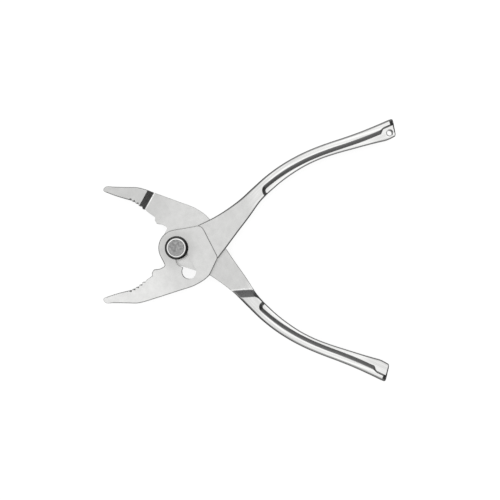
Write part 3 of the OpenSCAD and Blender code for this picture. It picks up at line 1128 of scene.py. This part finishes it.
    def handle(self) -> bpy.types.Object:
        """Neck, bow and tab: sections across the handle, one skin over them all.

        The face's height is web_half plus the rib's height times the slope's profile, less the
        rounding of each edge. The profile falls from the rib to the web as 1 - (1 - b) t - b * t * t,
        where t is the distance into the hollow over the slope's width and b is wall_bend_share. The
        lap side is flat in the neck, and mirrors the face beyond the ramp.

        Returns:
            The closed shape.
        """
        share = self.stations()
        inner_share = share - along(self.slant_shares, share)
        outer = np.column_stack([share * self.back_len, self.outer(share)])
        inner = np.column_stack([inner_share * self.back_len, self.inner(inner_share)])
        full = np.linalg.norm(outer - inner, axis=1)
        way = (outer - inner) / full[:, None]
        # In plan, the two end corners are quarter rounds
        left = (share[-1] - share) * self.back_len
        cut_out = self.outer_end_r * quarter(left / self.outer_end_r)
        cut_in = self.inner_end_r * quarter(left / self.inner_end_r)
        root = self.root_inset * (outer[:, 0] < self.plate_end - self.root_left)
        width = full - cut_out - cut_in
        start = inner + way * cut_in[:, None]
        rib, wall = self.rib_and_wall(share)
        out_square = np.where(left > self.end_w, self.square_to(way, outer), 1)
        in_square = np.where(left > self.inner_end_r, self.square_to(way, inner), 1)
        in_w, out_w = self.web_edge_w / in_square, self.edge_r(share) / out_square
        place = self.across(width, np.maximum(rib - cut_out, out_w + self.rib_flat_w), wall, in_w, out_w)
        x = start[:, 0:1] + way[:, 0:1] * place
        y = start[:, 1:2] + way[:, 1:2] * place
        t = self.hollow_depth(x, y, (width + cut_out - rib)[:, None] - place) / wall[:, None]
        t = np.clip(t, 0, 1)
        fall = ramp(left, self.rib_slope_len, self.rib_slope_end)[:, None]
        rib_h = (self.crest - self.web_half) * (1 - (1 - self.rib_left_share) * fall)
        bend = self.wall_bend_share
        top = self.web_half + rib_h * (1 - (1 - bend) * t - bend * t * t)
        from_in, from_out = place * in_square[:, None], (width[:, None] - place) * out_square[:, None]
        edge_r = self.edge_r(share)[:, None]
        for part, drop in (
            (quarter(from_in / self.web_edge_w), self.web_edge_h),
            (quarter(from_out / edge_r), edge_r),
            (1 - ramp(left[:, None], 0, self.end_w), self.end_h),
        ):
            top = top * (1 - np.minimum(drop / top, self.most_share) * part)
        climb = self.ramp_way(x, y)
        thick = soft_ramp(climb, self.neck_ramp_len, self.fillet)
        lap_r = self.lap_r * ease(share, *self.lap_grow_shares)[:, None] + self.crisp_r
        lap = self.lap_z + root[:, None] + lap_r * quarter(np.minimum(from_in, from_out) / lap_r)
        lap = lap - self.strip_h * ease(climb, -self.strip_w, self.strip_step - self.strip_w)
        low = lap + (-top - lap) * thick
        under = np.stack([x, y, low], axis=2)
        face = np.stack([x, y, top], axis=2)[:, ::-1]
        return shape(self.name + "_handle", *tube(np.concatenate([under, face], axis=1)))

    def forge(self) -> bpy.types.Object:
        """Joins plate, nose and handle.

        Returns:
            The closed shape in the half's own plan, in millimetres.
        """
        half = self.plate()
        carve(half, self.nose(), Cut.JOIN)
        carve(half, self.handle(), Cut.JOIN)
        return half

    def dress(self, half: bpy.types.Object, plated: bpy.types.Material, forged: bpy.types.Material) -> None:
        """Writes the plan map and the buffing of each face corner, and picks the finish of each face.

        The plan map follows the handle: across it, Y is measured from its middle line. Buffing grows
        from 0 on the plate and neck to 1 on the handle, first along the inner edge. It is less on the
        web by the tab, and full on the strip before each ramp, which paints a bright highlight there.
        Slopes and ramps keep the forged skin, whose darker colour is partly painted shade.

        Args:
            half: The half, still in its own plan in millimetres.
            plated: Finish of the ground and buffed faces.
            forged: Finish of the slopes.
        """
        mesh = half.data
        x, y, _ = places(half).T
        share = x / self.back_len
        middle = (self.outer(share) + self.inner(share)) / 2 * ease(share, *self.map_bend_shares)
        plan = np.column_stack([x, y - middle]) * MM
        loops = np.zeros(len(mesh.loops), np.int32)
        mesh.loops.foreach_get("vertex_index", loops)
        layer = mesh.uv_layers.new(name="plan")
        layer.data.foreach_set("uv", plan[loops].astype(np.float32).ravel())
        buffed = sum(most * ease(share, start, stop) for most, start, stop in self.buff_steps)
        most, start, stop = self.buff_edge_step
        by_edge = 1 - ease(y - self.inner(share), *self.buff_edge_w)
        buffed = np.maximum(buffed, most * by_edge * ease(share, start, stop))
        fade_in, fade_out = self.dull_fade_shares
        dull = ease(share, self.dull_from_share, self.dull_from_share + fade_in)
        dull = dull * (1 - ease(share, self.dull_to_share - fade_out, self.dull_to_share))
        wide = self.rib_w + self.dull_wall_share * self.wall_w
        dull = dull * ease(self.outer(share) - y, self.rib_w + self.wall_w, wide)
        buffed = buffed * (1 - self.dull_part * dull)
        centre, normal = rows_of(mesh.polygons, "center"), rows_of(mesh.polygons, "normal")
        sides = np.zeros(len(mesh.polygons), np.int32)
        mesh.polygons.foreach_get("loop_total", sides)
        # Faces of the strip before each ramp are fully buffed: a painted highlight
        on_highlight_strip = np.repeat(self.is_highlight_strip(centre, normal), sides)
        value = np.where(on_highlight_strip, 1.0, buffed[loops])
        buffing = mesh.attributes.new("buffing", "FLOAT", "CORNER")
        buffing.data.foreach_set("value", value.astype(np.float32))
        for finish in (plated, forged):
            mesh.materials.append(finish)
        mesh.polygons.foreach_set("material_index", self.is_forged_and_shaded(centre, normal).astype(np.int32))

    def place(self, points: np.ndarray, mid_z: float) -> np.ndarray:
        """Moves points from the half's own plan to where they lie in the part."""
        flat = turned((points[:, :2] - self.eye) * [1, self.flip], self.flip * self.turn_deg)
        return np.column_stack([flat, mid_z + self.flip * points[:, 2]])

    def unplace(self, points: np.ndarray, mid_z: float) -> np.ndarray:
        """Brings points of the part back to the half's own plan."""
        flat = turned(points[:, :2], -self.flip * self.turn_deg) * [1, self.flip] + self.eye
        return np.column_stack([flat, self.flip * (points[:, 2] - mid_z)])

    def settle(self, half: bpy.types.Object, mid_z: float, plated: bpy.types.Material,
               forged: bpy.types.Material) -> bpy.types.Object:
        """Finishes a half that is cut, dresses it and sets it in its place.

        Args:
            half: The half, still in its own plan in millimetres.
            mid_z: Height of the mating plane in millimetres.
            plated: Finish of the ground and buffed faces.
            forged: Finish of the slopes.

        Returns:
            The same half, in place in metres.
        """
        finish_shape(half)
        self.dress(half, plated, forged)
        put(half, self.place(places(half), mid_z) * MM)
        return half

    def is_highlight_strip(self, centre: np.ndarray, normal: np.ndarray) -> np.ndarray:
        """Tells which faces lie on the strip before a ramp, which gets a painted highlight.

        Args:
            centre: Middle of each face.
            normal: Direction of each face.

        Returns:
            True for each face of a strip.
        """
        x, y, z = centre.T
        flat = (normal[:, 2] < -self.strip_z) & (np.abs(z) < self.plate_t / 2)
        foot_x = -self.nose_start + self.nose_ramp_len
        at_nose = (x > foot_x - self.fillet) & (x < foot_x + self.strip_w)
        climb = self.ramp_way(x, y)
        at_neck = (climb > -self.strip_w) & (climb < self.fillet) & (x > self.plate_end)
        return flat & (at_nose | at_neck)

    def is_forged_and_shaded(self, centre: np.ndarray, normal: np.ndarray) -> np.ndarray:
        """Tells which faces are ramps or slopes of the hollow, from their middle and their tilt.

        Args:
            centre: Middle of each face.
            normal: Direction of each face.

        Returns:
            True for each face that keeps the forged skin, whose darker colour is partly painted shade.
        """
        x, y, z = centre.T
        share = x / self.back_len
        tilted = np.abs(normal[:, 2]) < self.level_z
        under = tilted & (normal[:, 2] < -self.down_z)
        foot_x = -self.nose_start + self.nose_ramp_len
        nose_ramp = under & (x > -self.nose_start - self.fillet) & (x < foot_x + self.fillet)
        rib, wall = self.rib_and_wall(share)
        depth = self.hollow_depth(x, y, self.outer(share) - rib - y)
        inside = (y - self.inner(share) > self.web_edge_w) & (y < self.outer(share) - self.edge_r(share))
        hollow = tilted & inside & (depth > -self.slack) & (depth < wall * self.slope_reach_share)
        hollow &= share > self.slope_from_share
        climb = self.ramp_way(x, y)
        neck_ramp = under & (climb > 0) & (climb < self.neck_ramp_len + self.fillet)
        neck_ramp &= (x > self.plate_end) & (share < self.hollow_at_shares[0])
        neck_ramp &= (z > -self.crest + self.slack) & (y < self.outer(share) - self.edge_r(share) / 2)
        return nose_ramp | hollow | neck_ramp


@dataclass(frozen=True)
class SlottedHalf(Forging):
    """The half with the row of seats and the hanging hole: lower jaw and upper handle."""

    name: str = "slotted_forging"
    eye: tuple[float, float] = (0.0, 8.0)
    corner_r: float = 4.5
    hollow_at_shares: tuple[float, float] = (0.406, 0.478)
    hollow_corner: float = 4.0
    seat_count: int = 3
    seat_pitch: float = 7.9
    seat_d: float = 8.6
    cusp_reach: float = 2.4
    seat_fit: float = 0.05
    hang_d: float = 3.2
    hang_bevel: float = 0.5
    hang_in: float = 4.6
    hang_y: float = 11.6

    def slot_outline(self) -> np.ndarray:
        """Row of seats: a straight wall on one side and an arc for each seat on the other.

        Returns:
            Rows of x and y, anticlockwise.
        """
        r = self.seat_d / 2
        cusp = math.degrees(math.acos(self.cusp_reach / r))
        wall = r + self.seat_fit
        top = self.eye[1]
        bottom = top - (self.seat_count - 1) * self.seat_pitch
        parts = [[[wall, bottom], [wall, top]]]
        for i in range(self.seat_count):
            first = 0 if i == 0 else 180 - cusp
            last = 360 if i == self.seat_count - 1 else 180 + cusp
            middle = [0, top - i * self.seat_pitch]
            parts.append(arc(middle, r, first, last, round((last - first) / 5))[(i == 0):])
        return np.concatenate(parts)[:-1]

    def slot_tool(self) -> bpy.types.Object:
        """Slot right through the plate: its outline at two heights."""
        line = self.slot_outline()
        return level_stack("slot_tool", [(line, -CUT_OVER), (line, self.plate_t + CUT_OVER)])

    def hang_tool(self) -> bpy.types.Object:
        """Hanging hole with a bevel on both sides: a stack of four circles.

        Returns:
            The closed shape to cut away.
        """
        half, r, b = self.web_half, self.hang_d / 2, self.hang_bevel
        middle = [self.back_len - self.hang_in, self.hang_y]
        levels = [(-half - b, r + 2 * b), (-half + b, r), (half - b, r), (half + b, r + 2 * b)]
        return level_stack("hang_tool", [(arc(middle, radius, 0, 360, 48)[:-1], z) for z, radius in levels])

    def build(self, finishes: Finishes, mid_z: float) -> bpy.types.Object:
        """Makes the half in its place.

        Args:
            finishes: The built finishes.
            mid_z: Height of the mating plane in millimetres.

        Returns:
            The finished piece.
        """
        half = self.forge()
        carve(half, self.slot_tool(), Cut.REMOVE)
        carve(half, self.hang_tool(), Cut.REMOVE)
        return self.settle(half, mid_z, finishes.slotted, finishes.forged)


@dataclass(frozen=True)
class PinnedHalf(Forging):
    """The same forging turned over, with one round hole for the bolt: upper jaw and lower handle."""

    name: str = "pinned_forging"
    eye: tuple[float, float] = (2.1, 9.3)
    corner_r: float = 1.2
    corner_rise_share: float = 0.56
    head_to_deg: float = 50.0
    dull_to_share: float = 1.1
    flip: int = -1
    turn_deg: float = 29.2

    def head_to(self, out: np.ndarray) -> float:
        """Where the head's round ends, in a hollow bend towards the plate's corner, in degrees."""
        return self.head_to_deg

    def build(self, finishes: Finishes, mid_z: float, hole: np.ndarray) -> bpy.types.Object:
        """Makes the half in its place.

        Args:
            finishes: The built finishes.
            mid_z: Height of the mating plane in millimetres.
            hole: Outline of the bolt's hole about the bolt's axis.

        Returns:
            The finished piece.
        """
        half = self.forge()
        put(half, self.place(places(half), mid_z))
        levels = [(hole, mid_z - self.plate_t - CUT_OVER), (hole, mid_z + CUT_OVER)]
        carve(half, level_stack("hole_tool", levels), Cut.REMOVE)
        put(half, self.unplace(places(half), mid_z))
        return self.settle(half, mid_z, finishes.pinned, finishes.forged)


# The fastener


@dataclass(frozen=True)
class Fastener:
    """Bolt, washer and nut about the pivot axis, in millimetres."""

    plate_t: float = 4.8
    head_d: float = 13.8
    head_h: float = 2.0
    head_slope: float = 1.4
    head_rim: float = 0.6
    head_sink: float = 0.15
    washer_t: float = 0.5
    washer_d: float = 13.2
    nut_w: float = 12.0
    nut_h: float = 2.8
    nut_bevel: float = 0.6
    nut_turn_deg: float = -29.2
    thread_d: float = 6.0
    thread_pitch: float = 1.0
    thread_depth: float = 0.45
    # The thread runs out over this length at both ends
    thread_fade: float = 0.4
    seat_d: float = 8.6
    cusp_reach: float = 2.4
    seat_fit: float = 0.05
    flat_fit: float = 0.1
    still_fit: float = 0.02
    washer_fit: float = 0.04
    turn_deg: float = 27.0
    # Small rounding of every edge, and the bevel of the bolt's end and of the nut's bore
    edge_r: float = 0.12
    end_bevel: float = 0.35
    # The head's rim is rounded this far to both sides
    rim_round: float = 0.5
    middle_r: float = 0.02
    steps: int = 144
    # Rows of the thread's surface in one pitch
    pitch_steps: int = 10
    sharp_deg: float = 24.0

    @property
    def mid_z(self) -> float:
        """Height of the mating plane."""
        return self.nut_h + self.plate_t

    @property
    def top_z(self) -> float:
        """Height of the slotted half's ground face."""
        return self.mid_z + self.plate_t

    @property
    def head_z(self) -> float:
        """Underside of the bolt's head."""
        return self.top_z + 2 * self.washer_fit + self.washer_t

    @property
    def shank_r(self) -> float:
        """Radius of the shank in its seat."""
        return self.seat_d / 2 - self.seat_fit

    @property
    def rim_r(self) -> float:
        """Radius of the head's bright rim."""
        return self.head_d / 2 - self.head_slope

    @property
    def sunk_r(self) -> float:
        """Radius of the head's sunk middle."""
        return self.rim_r - self.head_rim

    def angles(self) -> np.ndarray:
        """Angles of a full turn, without the last."""
        return np.linspace(0, 2 * math.pi, self.steps, endpoint=False)

    def flatted(self, radius: float, reach: float) -> np.ndarray:
        """Radius at each angle of a round bar with one flat: the smaller of the circle and the flat.

        Args:
            radius: Radius of the bar.
            reach: Distance of the flat from the axis, towards the cusps of the slot.

        Returns:
            One radius an angle.
        """
        facing = -np.cos(self.angles() - math.radians(self.turn_deg))
        return np.where(facing > reach / radius, reach / np.maximum(facing, 1e-6), radius)

    def hole_outline(self) -> np.ndarray:
        """Outline of the pinned half's hole about the bolt's axis."""
        r = self.flatted(self.shank_r + self.still_fit, self.cusp_reach - self.flat_fit + self.still_fit)
        return np.column_stack([r * np.cos(self.angles()), r * np.sin(self.angles())])

    def lathe(self, name: str, rows: Rows, bored: bool) -> bpy.types.Object:
        """Surface about the axis from rows of radius and height, each one value or one an angle.

        Args:
            name: Name of the piece.
            rows: Radius and height, anticlockwise round the section seen with the axis at the left.
            bored: True when the last row joins the first, so that the piece has a bore.

        Returns:
            The new object, in millimetres.
        """
        a = self.angles()
        rings = [
            np.column_stack([r * np.cos(a), r * np.sin(a), np.broadcast_to(z, a.shape)]) for r, z in rows
        ]
        if not bored:
            return shape(name, *tube(np.array(rings)))
        points, faces = tube(np.array([*rings, rings[0]]))
        return shape(name, points, faces[:-2])

    def thread(self, radius: float, from_z: float, to_z: float) -> Rows:
        """Rows of a screw thread: the radius falls and rises evenly once a pitch, turning with the angle.

        Args:
            radius: Crest radius of the bolt.
            from_z: First height.
            to_z: Last height.

        Returns:
            Rows of radius and height.
        """
        rows = []
        count = 1 + round(abs(to_z - from_z) / self.thread_pitch * self.pitch_steps)
        for z in np.linspace(from_z, to_z, count):
            turn = (z / self.thread_pitch - self.angles() / (2 * math.pi)) % 1
            fade = min(1.0, abs(z - from_z) / self.thread_fade, abs(z - to_z) / self.thread_fade)
            rows.append((radius - self.thread_depth * np.abs(2 * turn - 1) * fade, float(z)))
        return rows

    def bolt(self) -> bpy.types.Object:
        """Bolt with threaded end, flatted shank and bevelled head with a bright rim and sunk middle.

        Returns:
            The turned piece.
        """
        thread_r, e, b = self.thread_d / 2, self.edge_r, self.end_bevel
        shank = self.flatted(self.shank_r, self.cusp_reach - self.flat_fit)
        head_r, rim_r, sunk_r = self.head_d / 2, self.rim_r, self.sunk_r
        low, top = self.head_z, self.head_z + self.head_h
        slope_foot = np.array([head_r - 0.25 * e, low + 2.8 * e])
        fall = slope_foot - [rim_r, top]
        slope_top = np.array([rim_r, top]) + fall * self.rim_round / np.linalg.norm(fall)
        rows = [
            (self.middle_r, 0.0), (thread_r - 1.4 * b, 0.0), (thread_r - b, 0.5 * e),
            *self.thread(thread_r, b, self.nut_h - e),
            (thread_r, self.nut_h - 0.1 * e), (shank - e, self.nut_h), (shank, self.nut_h + e),
            (shank, low - 0.2 * e), (shank + 0.2 * e, low),
            (head_r - 2 * e, low), (head_r - 0.6 * e, low + 0.25 * e),
            (head_r, low + e), (head_r, low + 2.2 * e), tuple(slope_foot),
            *corner(slope_top, [rim_r, top], [rim_r - self.rim_round, top], 8).tolist(),
            (sunk_r, top - 0.15 * e), (sunk_r - self.head_sink, top - self.head_sink),
            (sunk_r - 4 * e, top - self.head_sink - 0.1 * e), (self.middle_r, top - self.head_sink + 0.3 * e),
        ]
        return self.lathe("pivot_bolt_turned", rows, False)

    def washer(self) -> bpy.types.Object:
        """Flat washer with rounded edges.

        Returns:
            The turned piece.
        """
        low, r, bore = self.top_z + self.washer_fit, self.washer_d / 2, self.seat_d / 2
        high, e = low + self.washer_t, self.edge_r
        rows = [
            (bore, low + e), (bore, high - e), (bore + 0.3 * e, high - 0.3 * e), (bore + e, high),
            (r - e, high), (r - 0.3 * e, high - 0.3 * e), (r, high - e), (r, low + e),
            (r - 0.3 * e, low + 0.3 * e), (r - e, low), (bore + e, low), (bore + 0.3 * e, low + 0.3 * e),
        ]
        return self.lathe("pivot_washer_stamped", rows[::-1], True)

    def nut(self) -> bpy.types.Object:
        """Hexagon nut: the side's radius is half the width over the cosine from the nearest flat.

        The bevel is a cone that meets the flats at their middle, so its edge waves between corners.

        Returns:
            The turned piece.
        """
        half, sixth = self.nut_w / 2, math.pi / 3
        from_flat = (self.angles() - math.radians(self.nut_turn_deg)) % sixth - sixth / 2
        side = half / np.cos(from_flat)
        rise = (side - half) * self.nut_bevel / (half / math.cos(sixth / 2) - half)
        bore, e, b = self.thread_d / 2 + self.still_fit, self.edge_r, self.end_bevel
        rows = [
            (side - e, self.nut_h), (side, self.nut_h - e), (side, rise + 0.5 * e),
            (side - 0.3 * e, rise + 0.1 * e), (half - 0.4 * e, 0.0), (bore + b, 0.0), (bore, b),
            (bore, self.nut_h - e), (bore + e, self.nut_h),
        ]
        return self.lathe("pivot_nut_milled", rows[::-1], True)

    def dress(self, piece: bpy.types.Object, materials: list[bpy.types.Material],
              reaches: list[float]) -> None:
        """Gives faces their finish. The first finish is for all, and each later one is for the head's top.

        Args:
            piece: The piece, in millimetres.
            materials: Finishes in order.
            reaches: Radius on the head's top up to which each later finish goes, the widest first.
        """
        mesh = piece.data
        for material in materials:
            mesh.materials.append(material)
        x, y, z = rows_of(mesh.polygons, "center").T
        index = np.zeros(len(x), np.int32)
        for number, reach in enumerate(reaches, 1):
            index[(np.hypot(x, y) < reach) & (z > self.head_z + self.head_h / 2)] = number
        mesh.polygons.foreach_set("material_index", index)

    def build(self, finishes: Finishes) -> dict[str, bpy.types.Object]:
        """Makes bolt, washer and nut in their places.

        Args:
            finishes: The built finishes.

        Returns:
            Each piece by the name of the node that it stands for.
        """
        made = {"pivot_bolt": self.bolt(), "pivot_washer": self.washer(), "pivot_nut": self.nut()}
        for piece in made.values():
            finish_shape(piece, self.sharp_deg)
        self.dress(made["pivot_bolt"], [finishes.slope, finishes.rim, finishes.face],
                   [self.rim_r + 0.4 * self.rim_round, self.sunk_r - 0.1 * self.edge_r])
        self.dress(made["pivot_washer"], [finishes.spring], [])
        self.dress(made["pivot_nut"], [finishes.spring], [])
        for piece in made.values():
            put(piece, places(piece) * MM)
        return made


# The studio


@dataclass(frozen=True)
class Studio:
    """Pale floor, soft overhead light and a camera straight above, in millimetres and pixels."""

    # In the photograph one pixel is 0.59 mm, and the pivot lies at this pixel of 500
    pixel_mm: float = 0.59
    pivot_px: tuple[float, float] = (176.25, 247.4)
    image_px: float = 500.0
    lens: float = 50.0
    sensor: float = 36.0
    # Height at which one pixel is pixel_mm
    sharp_z: float = 11.5
    clip_m: tuple[float, float] = (0.01, 50.0)
    floor_half: float = 6000.0
    floor_z: float = -0.05
    floor_colour: str = "#9A9A9A"
    floor_glow: float = 0.86
    # Brightness straight overhead, halfway down and at the sides, and the heights where they change,
    # as the sine of the angle over the floor
    overhead: float = 1.18
    shoulder: float = 0.3
    side: float = 0.04
    overhead_way: tuple[float, float, float] = (-0.08, 0.11, 0.991)
    overhead_rise: tuple[float, float] = (0.62, 0.92)
    shoulder_rise: tuple[float, float] = (0.28, 0.64)
    # Soft glows at the back, the left and the front: direction, how far they spread and brightness
    glows: tuple[tuple[tuple[float, float, float], float, float], ...] = (
        ((0.1, 0.97, 0.22), 0.5, 0.3), ((-0.99, 0.0, 0.1), 0.4, 0.14), ((0.2, -0.95, 0.24), 0.6, 0.26),
    )
    # Light that a white floor would give back, seen only by steep undersides
    floor_light: float = 0.2
    floor_fall: tuple[float, float] = (-0.6, -0.9)

    def camera(self) -> None:
        """Camera that looks straight down at the photograph's frame."""
        middle = (self.image_px - 1) / 2
        x = (middle - self.pivot_px[0]) * self.pixel_mm
        y = (self.pivot_px[1] - middle) * self.pixel_mm
        height = self.image_px * self.pixel_mm * self.lens / self.sensor
        data = bpy.data.cameras.new("camera")
        data.lens, data.sensor_width = self.lens, self.sensor
        data.clip_start, data.clip_end = self.clip_m
        made = bpy.data.objects.new("camera", data)
        made.location = Vector((x, y, height + self.sharp_z)) * MM
        bpy.context.scene.collection.objects.link(made)
        bpy.context.scene.camera = made
        log.info("camera %.3f m above the floor", made.location.z)

    def floor(self) -> None:
        """Pale floor that is seen from above only, lit so brightly that it looks white."""
        half, z = self.floor_half, self.floor_z
        points = np.array([[-half, -half, z], [half, -half, z], [half, half, z], [-half, half, z]])
        made = shape("floor", points * MM, [(0, 1, 2, 3)])
        material, tree = blank_material("pale_floor")
        dusty = add(tree, "ShaderNodeBsdfDiffuse", {"Color": linear(self.floor_colour)})
        glow = add(tree, "ShaderNodeEmission", {"Color": linear("#FFFFFF"), "Strength": self.floor_glow})
        lit = add(tree, "ShaderNodeAddShader", {0: dusty.outputs[0], 1: glow.outputs[0]})
        below = add(tree, "ShaderNodeNewGeometry")
        clear = add(tree, "ShaderNodeBsdfTransparent")
        both = add(tree, "ShaderNodeMixShader", {
            0: below.outputs["Backfacing"], 1: lit.outputs[0], 2: clear.outputs[0],
        })
        add(tree, "ShaderNodeOutputMaterial", {"Surface": both.outputs[0]})
        made.data.materials.append(material)
        made.visible_glossy = False
        made.visible_diffuse = False

    def sky(self) -> None:
        """Light from all round: a bright soft box overhead, dark sides and faint glows.

        Brightness falls from overhead to the shoulder and on to the sides with the sine of the
        direction's height. Each glow grows with how far a direction leans its way. What the camera
        sees past the floor is white.
        """
        world = bpy.data.worlds.new("studio")
        bpy.context.scene.world = world
        world.use_nodes = True
        tree = world.node_tree
        tree.nodes.clear()
        way = add(tree, "ShaderNodeTexCoord").outputs["Generated"]
        height = add(tree, "ShaderNodeSeparateXYZ", {0: way}).outputs["Z"]
        up = add(tree, "ShaderNodeVectorMath", {0: way, 1: self.overhead_way}, operation="DOT_PRODUCT")
        lights = [
            (up.outputs["Value"], self.overhead_rise, (0.0, self.overhead - self.shoulder), "SMOOTHSTEP"),
            (height, self.shoulder_rise, (self.side, self.shoulder), "LINEAR"),
            (height, self.floor_fall, (0.0, self.floor_light), "LINEAR"),
        ]
        for glow_way, spread, brightness in self.glows:
            lean = add(tree, "ShaderNodeVectorMath", {0: way, 1: glow_way}, operation="DOT_PRODUCT")
            lights.append((lean.outputs["Value"], (spread, 1.0), (0.0, brightness), "SMOOTHSTEP"))
        total = None
        for value, (start, stop), (least, most), rise in lights:
            light = add(tree, "ShaderNodeMapRange", {
                "Value": value, "From Min": start, "From Max": stop, "To Min": least, "To Max": most,
            }, interpolation_type=rise).outputs["Result"]
            if total is None:
                total = light
            else:
                total = add(tree, "ShaderNodeMath", {0: total, 1: light}).outputs["Value"]
        rays = add(tree, "ShaderNodeLightPath")
        strength = add(tree, "ShaderNodeMix", {
            "Factor": rays.outputs["Is Camera Ray"], "A": total, "B": 1.0,
        }, data_type="FLOAT")
        background = add(tree, "ShaderNodeBackground", {
            "Color": linear("#FFFFFF"), "Strength": strength.outputs["Result"],
        })
        add(tree, "ShaderNodeOutputWorld", {"Surface": background.outputs[0]})
        bpy.context.scene.view_settings.view_transform = "Standard"


def show(piece: bpy.types.Object, node: str, body: Body) -> None:
    """Lets a piece stand for a node and ride on its body.

    Args:
        piece: The finished piece, in place.
        node: Node that it stands for.
        body: Body that it rides on.
    """
    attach(piece, body.value)
    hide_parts(node)
    log.info("%s stands for %s, %d faces", piece.name, node, len(piece.data.polygons))


def main() -> None:
    """Builds the studio, the halves and the fastener in order."""
    logging.basicConfig(level=logging.INFO, format="%(message)s")
    studio = Studio()
    studio.camera()
    finishes = Finishes()
    fastener = Fastener()
    slotted = SlottedHalf().build(finishes, fastener.mid_z)
    show(slotted, "slotted_half", Body.SLOTTED)
    pinned = PinnedHalf().build(finishes, fastener.mid_z, fastener.hole_outline())
    show(pinned, "pinned_half", Body.PINNED)
    parts = fastener.build(finishes)
    show(parts["pivot_bolt"], "pivot_bolt", Body.PINNED)
    show(parts["pivot_washer"], "pivot_washer", Body.WASHER)
    show(parts["pivot_nut"], "pivot_nut", Body.PINNED)
    studio.floor()
    studio.sky()


if __name__ == "__main__":
    main()
